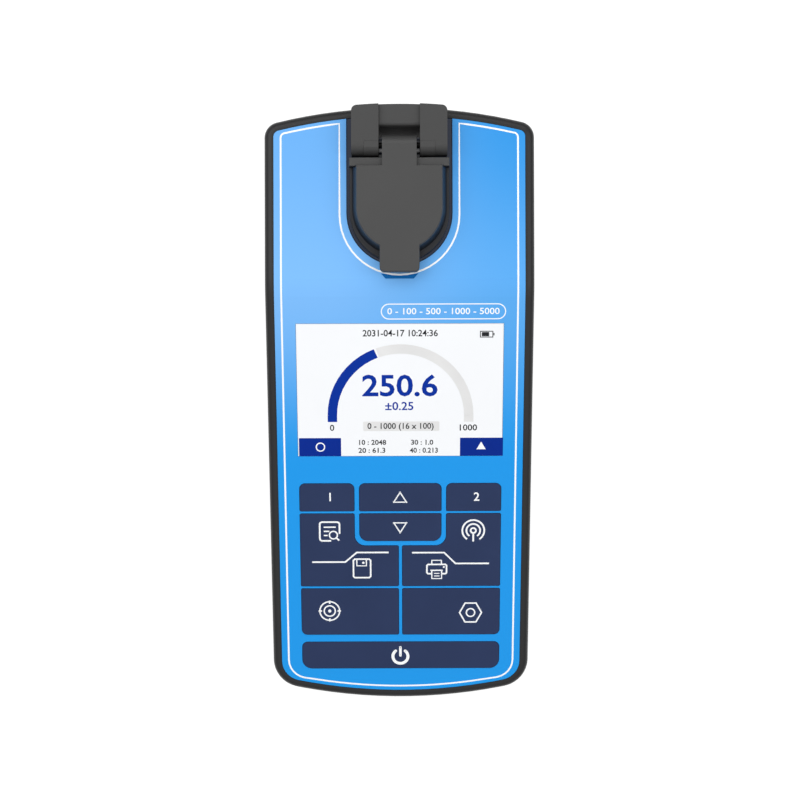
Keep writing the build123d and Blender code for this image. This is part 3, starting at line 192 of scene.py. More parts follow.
@dataclass(frozen=True)
class Finish:
    """A plastic, rubber, metal or printed finish with moulded grain and slight unevenness."""

    name: str
    colour: str
    roughness: float = 0.5
    metallic: float = 0.0
    ior: float = 1.5
    specular: float = 0.5
    coat: float = 0.0
    grain_mm: float = 0.5
    grain_depth_mm: float = 0.01
    unevenness: float = 0.05
    transmission: float = 0.0

    def base_colour(self, tree: bpy.types.NodeTree, place: bpy.types.NodeSocket) -> bpy.types.NodeSocket:
        """Give the colour of the finish, slightly uneven over centimetres.

        Args:
            tree: The material's node tree.
            place: Object coordinates.

        Returns:
            A colour socket.
        """
        cloud = add_node(
            tree, "ShaderNodeTexNoise", {"Scale": 1 / (CLOUD_MM * MM), "Detail": 3.0}, {"Vector": place}
        )
        shade = add_node(
            tree, "ShaderNodeMapRange",
            {"From Min": 0.3, "From Max": 0.7, "To Min": 1 - self.unevenness, "To Max": 1 + self.unevenness},
            {"Value": cloud.outputs["Fac"]},
        )
        mix = add_node(
            tree, "ShaderNodeVectorMath", {"operation": "SCALE"}, {"Scale": shade.outputs["Result"]}
        )
        mix.inputs[0].default_value = srgb(self.colour)[:3]
        return mix.outputs["Vector"]

    def build(self) -> bpy.types.Material:
        """Make the material, or give the one already made.

        Returns:
            The finished material.
        """
        made = bpy.data.materials.get(self.name)
        if made is not None:
            return made
        material = bpy.data.materials.new(self.name)
        material.use_nodes = True
        tree = material.node_tree
        shader = tree.nodes["Principled BSDF"]
        place = add_node(tree, "ShaderNodeTexCoord").outputs["Object"]
        tree.links.new(self.base_colour(tree, place), shader.inputs["Base Color"])
        grain = add_node(
            tree, "ShaderNodeTexNoise", {"Scale": 1 / (self.grain_mm * MM), "Detail": 2.0}, {"Vector": place}
        )
        rough = add_node(
            tree, "ShaderNodeMapRange",
            {
                "To Min": self.roughness * (1 - GRAIN_ROUGHNESS),
                "To Max": min(1.0, self.roughness * (1 + GRAIN_ROUGHNESS)),
            },
            {"Value": grain.outputs["Fac"]},
        )
        bump = add_node(
            tree, "ShaderNodeBump", {"Strength": GRAIN_STRENGTH, "Distance": self.grain_depth_mm * MM},
            {"Height": grain.outputs["Fac"]},
        )
        tree.links.new(rough.outputs["Result"], shader.inputs["Roughness"])
        tree.links.new(bump.outputs["Normal"], shader.inputs["Normal"])
        shader.inputs["Metallic"].default_value = self.metallic
        shader.inputs["IOR"].default_value = self.ior
        shader.inputs["Specular IOR Level"].default_value = self.specular
        shader.inputs["Coat Weight"].default_value = self.coat
        shader.inputs["Coat Roughness"].default_value = COAT_ROUGHNESS
        shader.inputs["Transmission Weight"].default_value = self.transmission
        return material


@dataclass(frozen=True)
class FilmFinish(Finish):
    """Printed polyester film fading over the head into the slope's blue; painted sheen lightens the left.

    The fades are given by the places in metres at which they start and end.
    """

    # The left corners hold the printed blue lightened by a painted sheen.
    rear_left_with_sheen: str = "6CB0F2"
    front_left_with_sheen: str = "7DBBF8"
    rear_right: str = "3398E6"
    front_right: str = "5CABF0"
    across: tuple[float, float] = (-0.030, 0.046)
    along_head: tuple[float, float] = (0.105, 0.040)
    along_slope: tuple[float, float] = (0.044, -0.020)

    def base_colour(self, tree: bpy.types.NodeTree, place: bpy.types.NodeSocket) -> bpy.types.NodeSocket:
        """Fade the head's corner blues (painted sheen on the left) into each other and the slope's blue.

        Args:
            tree: The material's node tree.
            place: Object coordinates.

        Returns:
            A colour socket.
        """
        split = add_node(tree, "ShaderNodeSeparateXYZ", links={"Vector": place})
        across = smooth_fade(tree, split.outputs["X"], self.across)
        along_head = smooth_fade(tree, split.outputs["Y"], self.along_head)
        along_slope = smooth_fade(tree, split.outputs["Y"], self.along_slope)
        left = mix_colours(tree, along_head, self.rear_left_with_sheen, self.front_left_with_sheen)
        right = mix_colours(tree, along_head, self.rear_right, self.front_right)
        head = mix_colours(tree, across, left, right)
        return mix_colours(tree, along_slope, head, self.colour)


@dataclass(frozen=True)
class LidFinish(Finish):
    """Grey grained lid with its rim and skirt darkened by painted shade, split at three places in metres."""

    # Painted shade with a faint painted blue reflection, on the rim and skirt of the lid's own plastic.
    rim_painted_shade: str = "0C0F17"
    plate_bottom: float = 0.0762
    plate_rear: float = 0.0858
    tab_front: float = 0.0525

    def base_colour(self, tree: bpy.types.NodeTree, place: bpy.types.NodeSocket) -> bpy.types.NodeSocket:
        """Grey on the plate, shelf and tab, and painted shade, near black, on the rim and skirt.

        Args:
            tree: The material's node tree.
            place: Object coordinates.

        Returns:
            A colour socket.
        """
        grey = super().base_colour(tree, place)
        split = add_node(tree, "ShaderNodeSeparateXYZ", links={"Vector": place})
        plate = work_out(tree, "GREATER_THAN", split.outputs["Z"], self.plate_bottom)
        shelf = work_out(tree, "GREATER_THAN", split.outputs["Y"], self.plate_rear)
        tab = work_out(tree, "LESS_THAN", split.outputs["Y"], self.tab_front)
        top = work_out(tree, "MAXIMUM", plate, work_out(tree, "MAXIMUM", shelf, tab))
        # The mask keeps grey on the plate, shelf and tab; elsewhere the painted rim shade shows.
        return mix_colours(tree, top, self.rim_painted_shade, grey)


ABS_BLACK = Finish("moulded_black_abs", "2A2A2B", roughness=0.36, specular=0.25, grain_mm=0.45,
                   grain_depth_mm=0.008)
ABS_GREY = Finish("moulded_grey_abs", "353535", roughness=0.45, grain_mm=0.4, grain_depth_mm=0.008,
                  unevenness=0.03)
# The lid's rim and skirt get painted shade from LidFinish.
LID_GREY = LidFinish("moulded_lid_abs", "3F3F3F", roughness=0.42, specular=0.4, grain_mm=0.4,
                     grain_depth_mm=0.008, unevenness=0.03)
# The collar's navy tint is a painted reflection of the blue film on polished black plastic.
GLOSS_BLACK = Finish("polished_black_abs", "17233B", roughness=0.1, grain_mm=2.0, grain_depth_mm=0.001,
                     specular=0.35, coat=0.3)
# Printed sky blue, with a painted sheen on the head's left.
FILM_BLUE = FilmFinish("printed_blue_film_and_sheen", "1F99EB", roughness=0.34, specular=0.12, grain_mm=0.25,
                       grain_depth_mm=0.003)
FILM_NAVY = Finish("printed_navy_film", "2B385A", roughness=0.4, specular=0.12, grain_mm=0.25,
                   grain_depth_mm=0.004)
INK_WHITE = Finish("white_screen_ink", "FCFEFF", roughness=0.45, specular=0.1, grain_mm=0.3,
                   grain_depth_mm=0.001, unevenness=0.01)
# Painted shade: the film's blue darkened where the finger scoop dips.
SCOOP_SHADE = Finish("scoop_painted_shade", "0468B4", roughness=0.4, specular=0.1, grain_mm=0.3,
                   grain_depth_mm=0.002)
SCREEN_WHITE = Finish("lit_panel_white", "F7F9FC", roughness=0.12, coat=0.5, grain_mm=0.3,
                      grain_depth_mm=0.0005, unevenness=0.006)
SCREEN_BLUE = Finish("lit_panel_blue", "00309A", roughness=0.3, specular=0.1, grain_depth_mm=0.0005)
SCREEN_BAR = Finish("lit_panel_bar", "00298C", roughness=0.3, specular=0.1, grain_mm=0.3,
                    grain_depth_mm=0.0005)
SCREEN_GREY = Finish("lit_panel_grey", "E2E2E2", roughness=0.3, specular=0.1, grain_mm=0.3,
                     grain_depth_mm=0.0005)
SCREEN_INK = Finish("lit_panel_black", "26272B", roughness=0.3, specular=0.1, grain_mm=0.3,
                    grain_depth_mm=0.0005)
RUBBER = Finish("moulded_rubber", "202020", roughness=0.75, grain_mm=0.6, grain_depth_mm=0.02)
FOAM = Finish("closed_cell_foam", "171717", roughness=0.95, grain_mm=0.35, grain_depth_mm=0.05)
# Painted shade: the hinge pin is darkened to stand for the shadow in the gaps beside the lid's tongue.
PIN_SHADE_STEEL = Finish("pin_steel_painted_shade", "161616", roughness=0.35, metallic=1.0, grain_mm=0.4,
                    grain_depth_mm=0.003)
STEEL = Finish("zinc_plated_steel", "B8B9BA", roughness=0.3, metallic=1.0, grain_mm=0.4, grain_depth_mm=0.003)
NICKEL = Finish("nickel_plated_spring_steel", "C2BBAA", roughness=0.25, metallic=1.0, grain_mm=0.4,
                grain_depth_mm=0.002)
OPTICS_BLACK = Finish("matt_black_acetal", "0E0E0F", roughness=0.7, grain_mm=0.3, grain_depth_mm=0.01)
BOARD_GREEN = Finish("green_solder_mask", "0F5A2E", roughness=0.3, grain_mm=0.8, grain_depth_mm=0.01)
CHIP_BLACK = Finish("epoxy_package", "1A1A1A", roughness=0.55, grain_mm=0.2, grain_depth_mm=0.004)
PLUNGER_WHITE = Finish("acetal_plunger", "C8C6BE", roughness=0.4, grain_mm=0.3, grain_depth_mm=0.003)
GLASS = Finish("optical_glass", "EAF2F4", roughness=0.03, ior=1.517, transmission=0.9, grain_mm=1.0,
               grain_depth_mm=0.0)
LCD_BLACK = Finish("display_glass_stack", "0D0E11", roughness=0.08, coat=0.4, grain_mm=1.0,
                   grain_depth_mm=0.0)
RIBBON = Finish("flat_cable_polyester", "D8D2BE", roughness=0.35, grain_mm=1.0, grain_depth_mm=0.005)
CELL_WRAP = Finish("cell_shrink_wrap", "1E4FA8", roughness=0.3, grain_mm=3.0, grain_depth_mm=0.01)

NODE_FINISHES: dict[str, Finish] = {
    "upper_housing": ABS_BLACK, "lower_housing": ABS_BLACK, "battery_door": ABS_BLACK,
    "lid": LID_GREY, "hinge_block": ABS_GREY, "friction_bushes": ABS_GREY,
    "well_collar": GLOSS_BLACK, "face_overlay": FILM_BLUE, "display_window": SCREEN_WHITE,
    "housing_seal": RUBBER, "feet": RUBBER, "lid_seal": FOAM, "battery_pad": FOAM,
    "vial_well": OPTICS_BLACK, "lcd_module": LCD_BLACK, "lcd_frame": STEEL, "charge_socket": STEEL,
    "hinge_pin": PIN_SHADE_STEEL, "hinge_screws": STEEL, "housing_screws": STEEL, "board_screws": STEEL,
    "keypad_screws": STEEL, "optics_screws": STEEL, "battery_door_screws": STEEL,
    "keypad_board": BOARD_GREEN, "main_board": BOARD_GREEN, "charge_board": BOARD_GREEN,
    "emitter_board": BOARD_GREEN, "detector_board": BOARD_GREEN,
    "tact_switches": CHIP_BLACK, "board_chips": CHIP_BLACK, "board_sockets": CHIP_BLACK, "buzzer": CHIP_BLACK,
    "emitter_lens": GLASS, "optical_filter": GLASS, "emitter_led": GLASS, "photodiode": GLASS,
    "display_ribbon": RIBBON, "keypad_ribbon": RIBBON, "battery_cells": CELL_WRAP, "battery_contacts": NICKEL,
}


@dataclass
class Face:
    """Top of the instrument: a flat head, a bend and a slope, unrolled to X and a distance up the face."""

    head_height: float = 70.0
    bend_y: float = 43.496
    slope_deg: float = 14.5
    bend_radius: float = 25.0

    @property
    def slope(self) -> float:
        """Slope in radians."""
        return math.radians(self.slope_deg)

    @property
    def tangent(self) -> float:
        """Distance from the bend line to either end of the bend."""
        return self.bend_radius * math.tan(self.slope / 2)

    def place(self, x: float, up: float, height: float) -> Vector:
        """Place a point of the unrolled face.

        Args:
            x: Across, in millimetres.
            up: Up the face from the bend line, negative on the slope, in millimetres.
            height: Above the face, in millimetres.

        Returns:
            The point in the row frame, in metres.
        """
        if up >= self.tangent:
            point = Vector((x, self.bend_y + up, self.head_height + height))
        elif up <= -self.tangent:
            down = -up
            sine, cosine = math.sin(self.slope), math.cos(self.slope)
            point = Vector((
                x, self.bend_y - down * cosine - height * sine,
                self.head_height - down * sine + height * cosine,
            ))
        else:
            turn = self.slope * (self.tangent - up) / (2 * self.tangent)
            radius = self.bend_radius + height
            point = Vector((
                x, self.bend_y + self.tangent - radius * math.sin(turn),
                self.head_height - self.bend_radius + radius * math.cos(turn),
            ))
        return point * MM


class Corner(Enum):
    """How the corners of a printed stroke are drawn."""

    OPEN = "open"
    CLOSED = "closed"


@dataclass
class Print:
    """Thin printed layer, drawn flat in X and up the face, then laid on the face."""

    name: str
    finish: Finish
    body: str
    slot: str
    face: Face
    height: float
    thickness: float = 0.03
    least_steps: int = 8
    step_deg: float = 6.0
    bend_cuts: int = 8
    mesh: bmesh.types.BMesh = field(default_factory=bmesh.new)

    def stroke(self, points: list[tuple[float, float]], width: float, corner: Corner = Corner.OPEN) -> None:
        """Draw a line of even width.

        Args:
            points: Places across and up the face, in millimetres.
            width: Width of the line.
            corner: Whether the line joins its own start.
        """
        curve = bpy.data.curves.new("stroke", "CURVE")
        curve.dimensions = "3D"
        spline = curve.splines.new("POLY")
        spline.points.add(len(points) - 1)
        for point, (x, up) in zip(spline.points, points):
            point.co = (x, up, 0.0, 1.0)
        spline.use_cyclic_u = corner is Corner.CLOSED
        curve.bevel_depth = width / 2
        curve.bevel_resolution = 1
        curve.use_fill_caps = True
        self.absorb(curve, Matrix.Identity(4))

    def absorb(self, curve: bpy.types.Curve, place: Matrix) -> None:
        """Add a curve's own mesh, pressed flat.

        Args:
            curve: Curve or text data.
            place: Where it goes on the unrolled face.
        """
        holder = bpy.data.objects.new("holder", curve)
        bpy.context.scene.collection.objects.link(holder)
        bpy.context.view_layer.update()
        mesh = bpy.data.meshes.new_from_object(holder)
        mesh.transform(place)
        low = min((v.co.z for v in mesh.vertices), default=0.0)
        high = max((v.co.z for v in mesh.vertices), default=1.0)
        depth = max(high - low, 1e-6)
        mesh.transform(Matrix.Diagonal((1, 1, self.thickness / depth, 1)) @ Matrix.Translation((0, 0, -low)))
        self.mesh.from_mesh(mesh)
        bpy.data.objects.remove(holder)
        bpy.data.meshes.remove(mesh)

    def arc(
        self, x: float, up: float, radius: float, width: float, start: float = 0.0, sweep: float = FULL_TURN
    ) -> None:
        """Draw an arc or a full ring.

        Args:
            x: Centre across.
            up: Centre up the face.
            radius: Radius of the line's middle.
            width: Width of the line.
            start: Start angle in degrees, counted anticlockwise from +X.
            sweep: Angle drawn, in degrees.
        """
        steps = max(self.least_steps, int(abs(sweep) / self.step_deg))
        points = arc_points(x, up, radius, start, sweep, steps)
        if abs(sweep) >= FULL_TURN:
            self.stroke(points[:-1], width, Corner.CLOSED)
        else:
            self.stroke(points, width)

    def plate(self, x: float, up: float, width: float, depth: float, corner: float = 0.0) -> None:
        """Fill a rectangle.

        Args:
            x: Centre across.
            up: Centre up the face.
            width: Size across.
            depth: Size up the face.
            corner: Corner radius.
        """
        made = bmesh.ops.create_cube(self.mesh, size=1.0)
        verts = made["verts"]
        bmesh.ops.scale(self.mesh, vec=(width, depth, self.thickness), verts=verts)
        bmesh.ops.translate(self.mesh, vec=(x, up, self.thickness / 2), verts=verts)
        if corner > 0:
            edges = [
                e for e in {e for v in verts for e in v.link_edges}
                if abs(e.verts[0].co.z - e.verts[1].co.z) > self.thickness / 2
            ]
            bmesh.ops.bevel(
                self.mesh, geom=edges, offset=corner, segments=4, profile=0.5, affect="EDGES", material=-1
            )

    def outline(self, points: list[tuple[float, float]]) -> None:
        """Fill the area inside a few corners.

        Args:
            points: Corners across and up the face.
        """
        corners = [self.mesh.verts.new((x, up, 0)) for x, up in points]
        face = self.mesh.faces.new(corners)
        made = bmesh.ops.extrude_face_region(self.mesh, geom=[face])
        lifted = [v for v in made["geom"] if isinstance(v, bmesh.types.BMVert)]
        bmesh.ops.translate(self.mesh, vec=(0, 0, self.thickness), verts=lifted)

    def disc(self, x: float, up: float, radius: float, sides: int = 32) -> None:
        """Fill a circle or a regular polygon.

        Args:
            x: Centre across.
            up: Centre up the face.
            radius: Radius to the corners.
            sides: Number of sides.
        """
        bmesh.ops.create_cone(
            self.mesh, cap_ends=True, segments=sides, radius1=radius, radius2=radius, depth=self.thickness,
            matrix=Matrix.Translation((x, up, self.thickness / 2)),
        )

    def number(
        self, text: str, x: float, up: float, size: float, bold: float = 0.0, stretch: float = 1.0
    ) -> None:
        """Set plain digits, centred.

        Args:
            text: Digits and marks.
            x: Centre across.
            up: Centre up the face.
            size: Height of the digits.
            bold: Extra weight of the strokes.
            stretch: Width of the digits against their usual width.
        """
        curve = bpy.data.curves.new("digits", "FONT")
        curve.body = text
        curve.align_x = "CENTER"
        curve.align_y = "CENTER"
        curve.size = size / DIGIT_SHARE
        curve.offset = bold
        curve.extrude = 0.5
        curve.resolution_u = 3
        self.absorb(curve, Matrix.Translation((x, up, 0)) @ Matrix.Diagonal((stretch, 1, 1, 1)))

    def finish_piece(self) -> bpy.types.Object:
        """Lay the print on the face and make it a piece.

        Returns:
            The finished object, riding on its body.
        """
        reach = self.face.tangent
        for cut in range(self.bend_cuts + 1):
            level = -reach + 2 * reach * cut / self.bend_cuts
            geometry = self.mesh.verts[:] + self.mesh.edges[:] + self.mesh.faces[:]
            bmesh.ops.bisect_plane(self.mesh, geom=geometry, plane_co=(0, level, 0), plane_no=(0, 1, 0))
        for vertex in self.mesh.verts:
            vertex.co = self.face.place(vertex.co.x, vertex.co.y, self.height + vertex.co.z)
        bmesh.ops.recalc_face_normals(self.mesh, faces=self.mesh.faces[:])
        for side in self.mesh.faces:
            side.smooth = False
        return piece_from(self.mesh, self.name, self.finish, self.body)


def piece_from(
    mesh: bmesh.types.BMesh, name: str, finish: Finish, body: str
) -> bpy.types.Object:
    """Turn a bmesh into a piece that rides on a body.

    Args:
        mesh: Geometry in metres in the row frame; it is freed.
        name: Name of the piece.
        finish: Its finish.
        body: Body that carries it.

    Returns:
        The new object.
    """
    data = bpy.data.meshes.new(name)
    mesh.to_mesh(data)
    mesh.free()
    piece = bpy.data.objects.new(name, data)
    bpy.context.scene.collection.objects.link(piece)
    piece.data.materials.append(finish.build())
    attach(piece, body)
    LOG.info("made %s with %d faces", name, len(data.polygons))
    return piece


@dataclass
class PhotoScale:
    """Turns a place in the 800 by 800 photograph into a place on the unrolled face."""

    face: Face
    pixels_per_mm: float = 2.85
    centre_x: float = 399.7
    centre_y: float = 400.0
    distance: float = 570.0
    bend_up: float = 39.3

    def slope_place(self, column: float, row: float) -> tuple[float, float]:
        """Place of a pixel on the slope.

        Args:
            column: Pixels from the left.
            row: Pixels from the top.

        Returns:
            Place across and up the face, in millimetres.
        """
        sine, cosine = math.sin(self.face.slope), math.cos(self.face.slope)
        above = (self.centre_y - row) / self.pixels_per_mm
        down = (self.bend_up - above) / (cosine + above * sine / self.distance)
        across = (column - self.centre_x) / self.pixels_per_mm * (1 + down * sine / self.distance)
        return across, -down

    def length(self, pixels: float, row: float) -> float:
        """Length of a row of pixels on the slope.

        Args:
            pixels: Length in pixels.
            row: Row at which it lies.

        Returns:
            Length in millimetres.
        """
        down = -self.slope_place(self.centre_x, row)[1]
        farther = 1 + down * math.sin(self.face.slope) / self.distance
        return pixels / self.pixels_per_mm * farther


@dataclass
class FaceGraphics:
    """White border line, title capsule with plain numbers and painted shade in the finger scoop."""

    face: Face
    slot: str = "face_film"
    height: float = -0.05
    line: float = 0.62
    half_width: float = 41.65
    corner: float = 1.6
    u_half_width: float = 21.05
    u_centre: float = 25.75
    rear_up: float = 58.96
    rear_radius: float = 181.0
    front_up: float = -151.0
    front_radius: float = 185.0
    front_corner: float = 7.2
    scoop_half_width: float = 6.5
    scoop_end_half_width: float = 4.95
    scoop_top: float = 5.1
    scoop_bottom: float = 3.35
    scoop_height: float = -0.24
    scoop_thickness: float = 0.02
    front_corner_sweep: float = 78.0
    run_steps: int = 8
    corner_steps: int = 4
    front_corner_steps: int = 6
    u_steps: int = 24
    capsule_left: float = -6.5
    capsule_right: float = 37.3
    capsule_top: float = -5.75
    capsule_bottom: float = -11.1
    capsule_line: float = 0.36
    capsule_steps: int = 12
    capsule_text: str = "0 - 100 - 500 - 1000 - 5000"
    capsule_digit: float = 2.35
    capsule_bold: float = 0.03
    capsule_stretch: float = 1.12

    def rear_edge(self, x: float) -> float:
        """Rear run of the border line, on an arc."""
        return self.rear_up - self.rear_radius + math.sqrt(self.rear_radius ** 2 - x ** 2)

    def front_edge(self, x: float) -> float:
        """Front run of the border line, on an arc."""
        return self.front_up + self.front_radius - math.sqrt(self.front_radius ** 2 - x ** 2)

    def border_points(self) -> list[tuple[float, float]]:
        """Work out the border line from the right of the lid round to its left, and round the lid.

        Returns:
            Points of the closed border line.
        """
        side, corner, front_corner = self.half_width, self.corner, self.front_corner
        rear_run = side - corner - self.u_half_width
        points = []
        for i in range(self.run_steps + 1):
            x = self.u_half_width + rear_run * i / self.run_steps
            points.append((x, self.rear_edge(x)))
        top = self.rear_edge(side - corner) - corner
        points += arc_points(side - corner, top, corner, 90, -90, self.corner_steps)[1:]
        low = self.front_edge(side - front_corner) + front_corner
        points += arc_points(
            side - front_corner, low, front_corner, 0, -self.front_corner_sweep, self.front_corner_steps
        )
        reach = points[-1][0]
        for i in range(1, self.run_steps + 1):
            x = reach - reach * i / self.run_steps
            points.append((x, self.front_edge(x)))
        mirrored = [(-x, up) for x, up in reversed(points[:-1])]
        return points + mirrored + arc_points(0, self.u_centre, self.u_half_width, 180, 180, self.u_steps)

    def build(self) -> None:
        """Print the border line, the scoop's floor and the capsule."""
        self.border()
        self.scoop()
        self.capsule()

    def border(self) -> None:
        """White line round the film and the lid."""
        border = Print("border_line", INK_WHITE, "root", self.slot, self.face, self.height)
        border.stroke(self.border_points(), self.line, Corner.CLOSED)
        border.finish_piece()

    def scoop(self) -> None:
        """Painted shade that darkens the blue floor of the finger scoop before the lid's tab."""
        scoop = Print(
            "scoop_floor", SCOOP_SHADE, "root", self.slot, self.face, self.scoop_height, self.scoop_thickness
        )
        scoop.outline([
            (-self.scoop_half_width, self.scoop_top), (-self.scoop_end_half_width, self.scoop_bottom),
            (self.scoop_end_half_width, self.scoop_bottom), (self.scoop_half_width, self.scoop_top),
        ])
        scoop.finish_piece()

    def capsule(self) -> None:
        """Outlined capsule over the display's right, with plain numbers."""
        capsule = Print("title_capsule", INK_WHITE, "root", self.slot, self.face, self.height)
        left, right = self.capsule_left, self.capsule_right
        top, bottom = self.capsule_top, self.capsule_bottom
        radius, middle = (top - bottom) / 2, (top + bottom) / 2
        ends = arc_points(right - radius, middle, radius, -90, 180, self.capsule_steps)
        ends += arc_points(left + radius, middle, radius, 90, 180, self.capsule_steps)
        capsule.stroke(ends, self.capsule_line, Corner.CLOSED)
        capsule.number(
            self.capsule_text, (left + right) / 2, middle, self.capsule_digit, self.capsule_bold,
            self.capsule_stretch,
        )
        capsule.finish_piece()


@dataclass(frozen=True)
class Reading:
    """Small plain number on the display, placed by pixels of the photograph."""

    text: str
    column: float
    row: float
    tall: float
    stretch: float


@dataclass
class Screen:
    """Contents of the display: a gauge with plain numbers, placed by pixels of the photograph."""

    face: Face
    photo: PhotoScale
    slot: str = "window"
    height: float = -0.05
    thickness: float = 0.02
    share_lift: float = 0.004
    ink_lift: float = 0.008
    mark_lift: float = 0.021
    gauge_column: float = 400.2
    gauge_row: float = 415.5
    gauge_outer: float = 73.1
    gauge_inner: float = 63.6
    gauge_foot_row: float = 421.9
    gauge_scale_row: float = 400.0
    rest_sweep: float = 109.6
    share_sweep: float = 69.0
    leg_overlap: float = 0.05
    box_row: float = 446.9
    box_height: float = 18.7
    box_scale_row: float = 447.0
    box_columns: tuple[tuple[float, float], ...] = ((298.6, 340.7), (459.5, 502.5))
    readings: tuple[Reading, ...] = (
        Reading("2031-04-17 10:24:36", 400.1, 333.5, 6.8, 0.97),
        Reading("0", 331.7, 428, 6.4, 1.06),
        Reading("1000", 467.2, 428, 6.4, 1.1),
        Reading("10 : 2048", 371.6, 442.6, 5.2, 1.06),
        Reading("20 : 61.3", 371.6, 450.6, 5.2, 1.1),
        Reading("30 : 1.0", 421.6, 442.6, 5.2, 1.06),
        Reading("40 : 0.213", 423.6, 450.6, 5.2, 1.0),
        Reading("0 - 1000 (16 x 100)", 400.3, 426.3, 6.2, 1.0),
    )

    def layer(self, name: str, finish: Finish, lift: float = 0.0) -> Print:
        """Start a printed layer of the screen."""
        return Print(name, finish, "root", self.slot, self.face, self.height + lift, self.thickness)

    def build(self) -> None:
        """Draw the gauge, its value, the two corner boxes and the small readings."""
        self.gauge_rest()
        self.gauge_share()
        self.corner_boxes()
        self.small_readings()

    def gauge_part(self, ink: Print, start: float, sweep: float, side: int) -> None:
        """Draw one arc of the gauge and the straight leg under it.

        Args:
            ink: Print that takes it.
            start: Start angle in degrees.
            sweep: Angle drawn.
            side: -1 for the left leg, 1 for the right one.
        """
        place, length = self.photo.slope_place, self.photo.length
        x, up = place(self.gauge_column, self.gauge_row)
        outer = length(self.gauge_outer, self.gauge_scale_row)
        inner = length(self.gauge_inner, self.gauge_scale_row)
        middle, width = (outer + inner) / 2, outer - inner
        foot = place(self.gauge_column, self.gauge_foot_row)[1]
        ink.arc(x, up, middle, width, start, sweep)
        ink.stroke([(x + side * middle, up + self.leg_overlap), (x + side * middle, foot)], width)

    def gauge_rest(self) -> None:
        """Grey part of the gauge and the grey label box under the value."""
        rest = self.layer("gauge_rest", SCREEN_GREY)
        self.gauge_part(rest, 0, self.rest_sweep, 1)
        label_column, label_row, label_scale_row = 400.9, 426.2, 426
        label_width, label_height, label_corner = 76.2, 9.8, 0.4
        x, up = self.photo.slope_place(label_column, label_row)
        width, height = (self.photo.length(size, label_scale_row) for size in (label_width, label_height))
        rest.plate(x, up, width, height, label_corner)
        rest.finish_piece()

    def gauge_share(self) -> None:
        """Blue part of the gauge, the large value and the tolerance under it."""
        share = self.layer("gauge_share", SCREEN_BLUE, self.share_lift)
        self.gauge_part(share, 180, -self.share_sweep, -1)
        value = Reading("250.6", 399.6, 386.8, 22.3, 1.13)
        tolerance = Reading("\u00b10.25", 399.0, 406.5, 8.6, 1.08)
        for reading, scale_row, bold in ((value, 385, 0.2), (tolerance, 406, 0.06)):
            x, up = self.photo.slope_place(reading.column, reading.row)
            tall = self.photo.length(reading.tall, scale_row)
            share.number(reading.text, x, up, tall, bold, reading.stretch)
        share.finish_piece()

    def corner_boxes(self) -> None:
        """Blue boxes in the lower corners, one with a ring and one with a triangle."""
        bars = self.layer("corner_boxes", SCREEN_BAR)
        height = self.photo.length(self.box_height, self.box_scale_row)
        for left, right in self.box_columns:
            x, up = self.photo.slope_place((left + right) / 2, self.box_row)
            bars.plate(x, up, self.photo.length(right - left, self.box_scale_row), height)
        bars.finish_piece()
        ring_column, ring_radius, ring_line = 320, 1.5, 0.42
        triangle_column, triangle_radius, triangle_shift = 481.5, 1.9, 0.3
        marks = self.layer("corner_marks", INK_WHITE, self.mark_lift)
        marks.arc(*self.photo.slope_place(ring_column, self.box_row), ring_radius, ring_line)
        x, up = self.photo.slope_place(triangle_column, self.box_row)
        marks.disc(x - triangle_shift, up, triangle_radius, 3)
        marks.finish_piece()

    def small_readings(self) -> None:
        """Black numbers and the battery sign."""
        ink = self.layer("small_readings", SCREEN_INK, self.ink_lift)
        bold = 0.045
        for reading in self.readings:
            x, up = self.photo.slope_place(reading.column, reading.row)
            tall = self.photo.length(reading.tall, reading.row)
            ink.number(reading.text, x, up, tall, bold, reading.stretch)
        column, row = 486.8, 334.4
        left, right, rise, line = 2.3, 2.1, 1.05, 0.42
        x, up = self.photo.slope_place(column, row)
        case = [(x - left, up - rise), (x + right, up - rise), (x + right, up + rise), (x - left, up + rise)]
        ink.stroke(case, line, Corner.CLOSED)
        charge_shift, charge_width, charge_height = 0.5, 2.6, 1.5
        ink.plate(x - charge_shift, up, charge_width, charge_height)
        cap_shift, cap_width, cap_height = 2.5, 0.35, 0.9
        ink.plate(x + cap_shift, up, cap_width, cap_height)
        ink.finish_piece()


SYMBOL_PIXELS: dict[str, tuple[float, float]] = {
    "place_1": (329.5, 497.2), "place_2": (476.0, 497.2), "up": (399.5, 497.2), "down": (399.5, 527.6),
    "sheet": (329.0, 531.2), "disk": (361.3, 568.2), "antenna": (472.6, 530.6), "printer": (436.2, 569.3),
    "target": (328.9, 610.7), "nut": (469.6, 612.6), "power": (399.4, 656.2),
}
VIEW_DIVIDER_PIXELS = ((311.5, 561.8), (344.6, 561.8), (356.0, 552.3), (387.9, 552.3))
LINK_DIVIDER_PIXELS = ((411.3, 552.6), (443.4, 552.6), (454.7, 563.5), (488.2, 563.5))


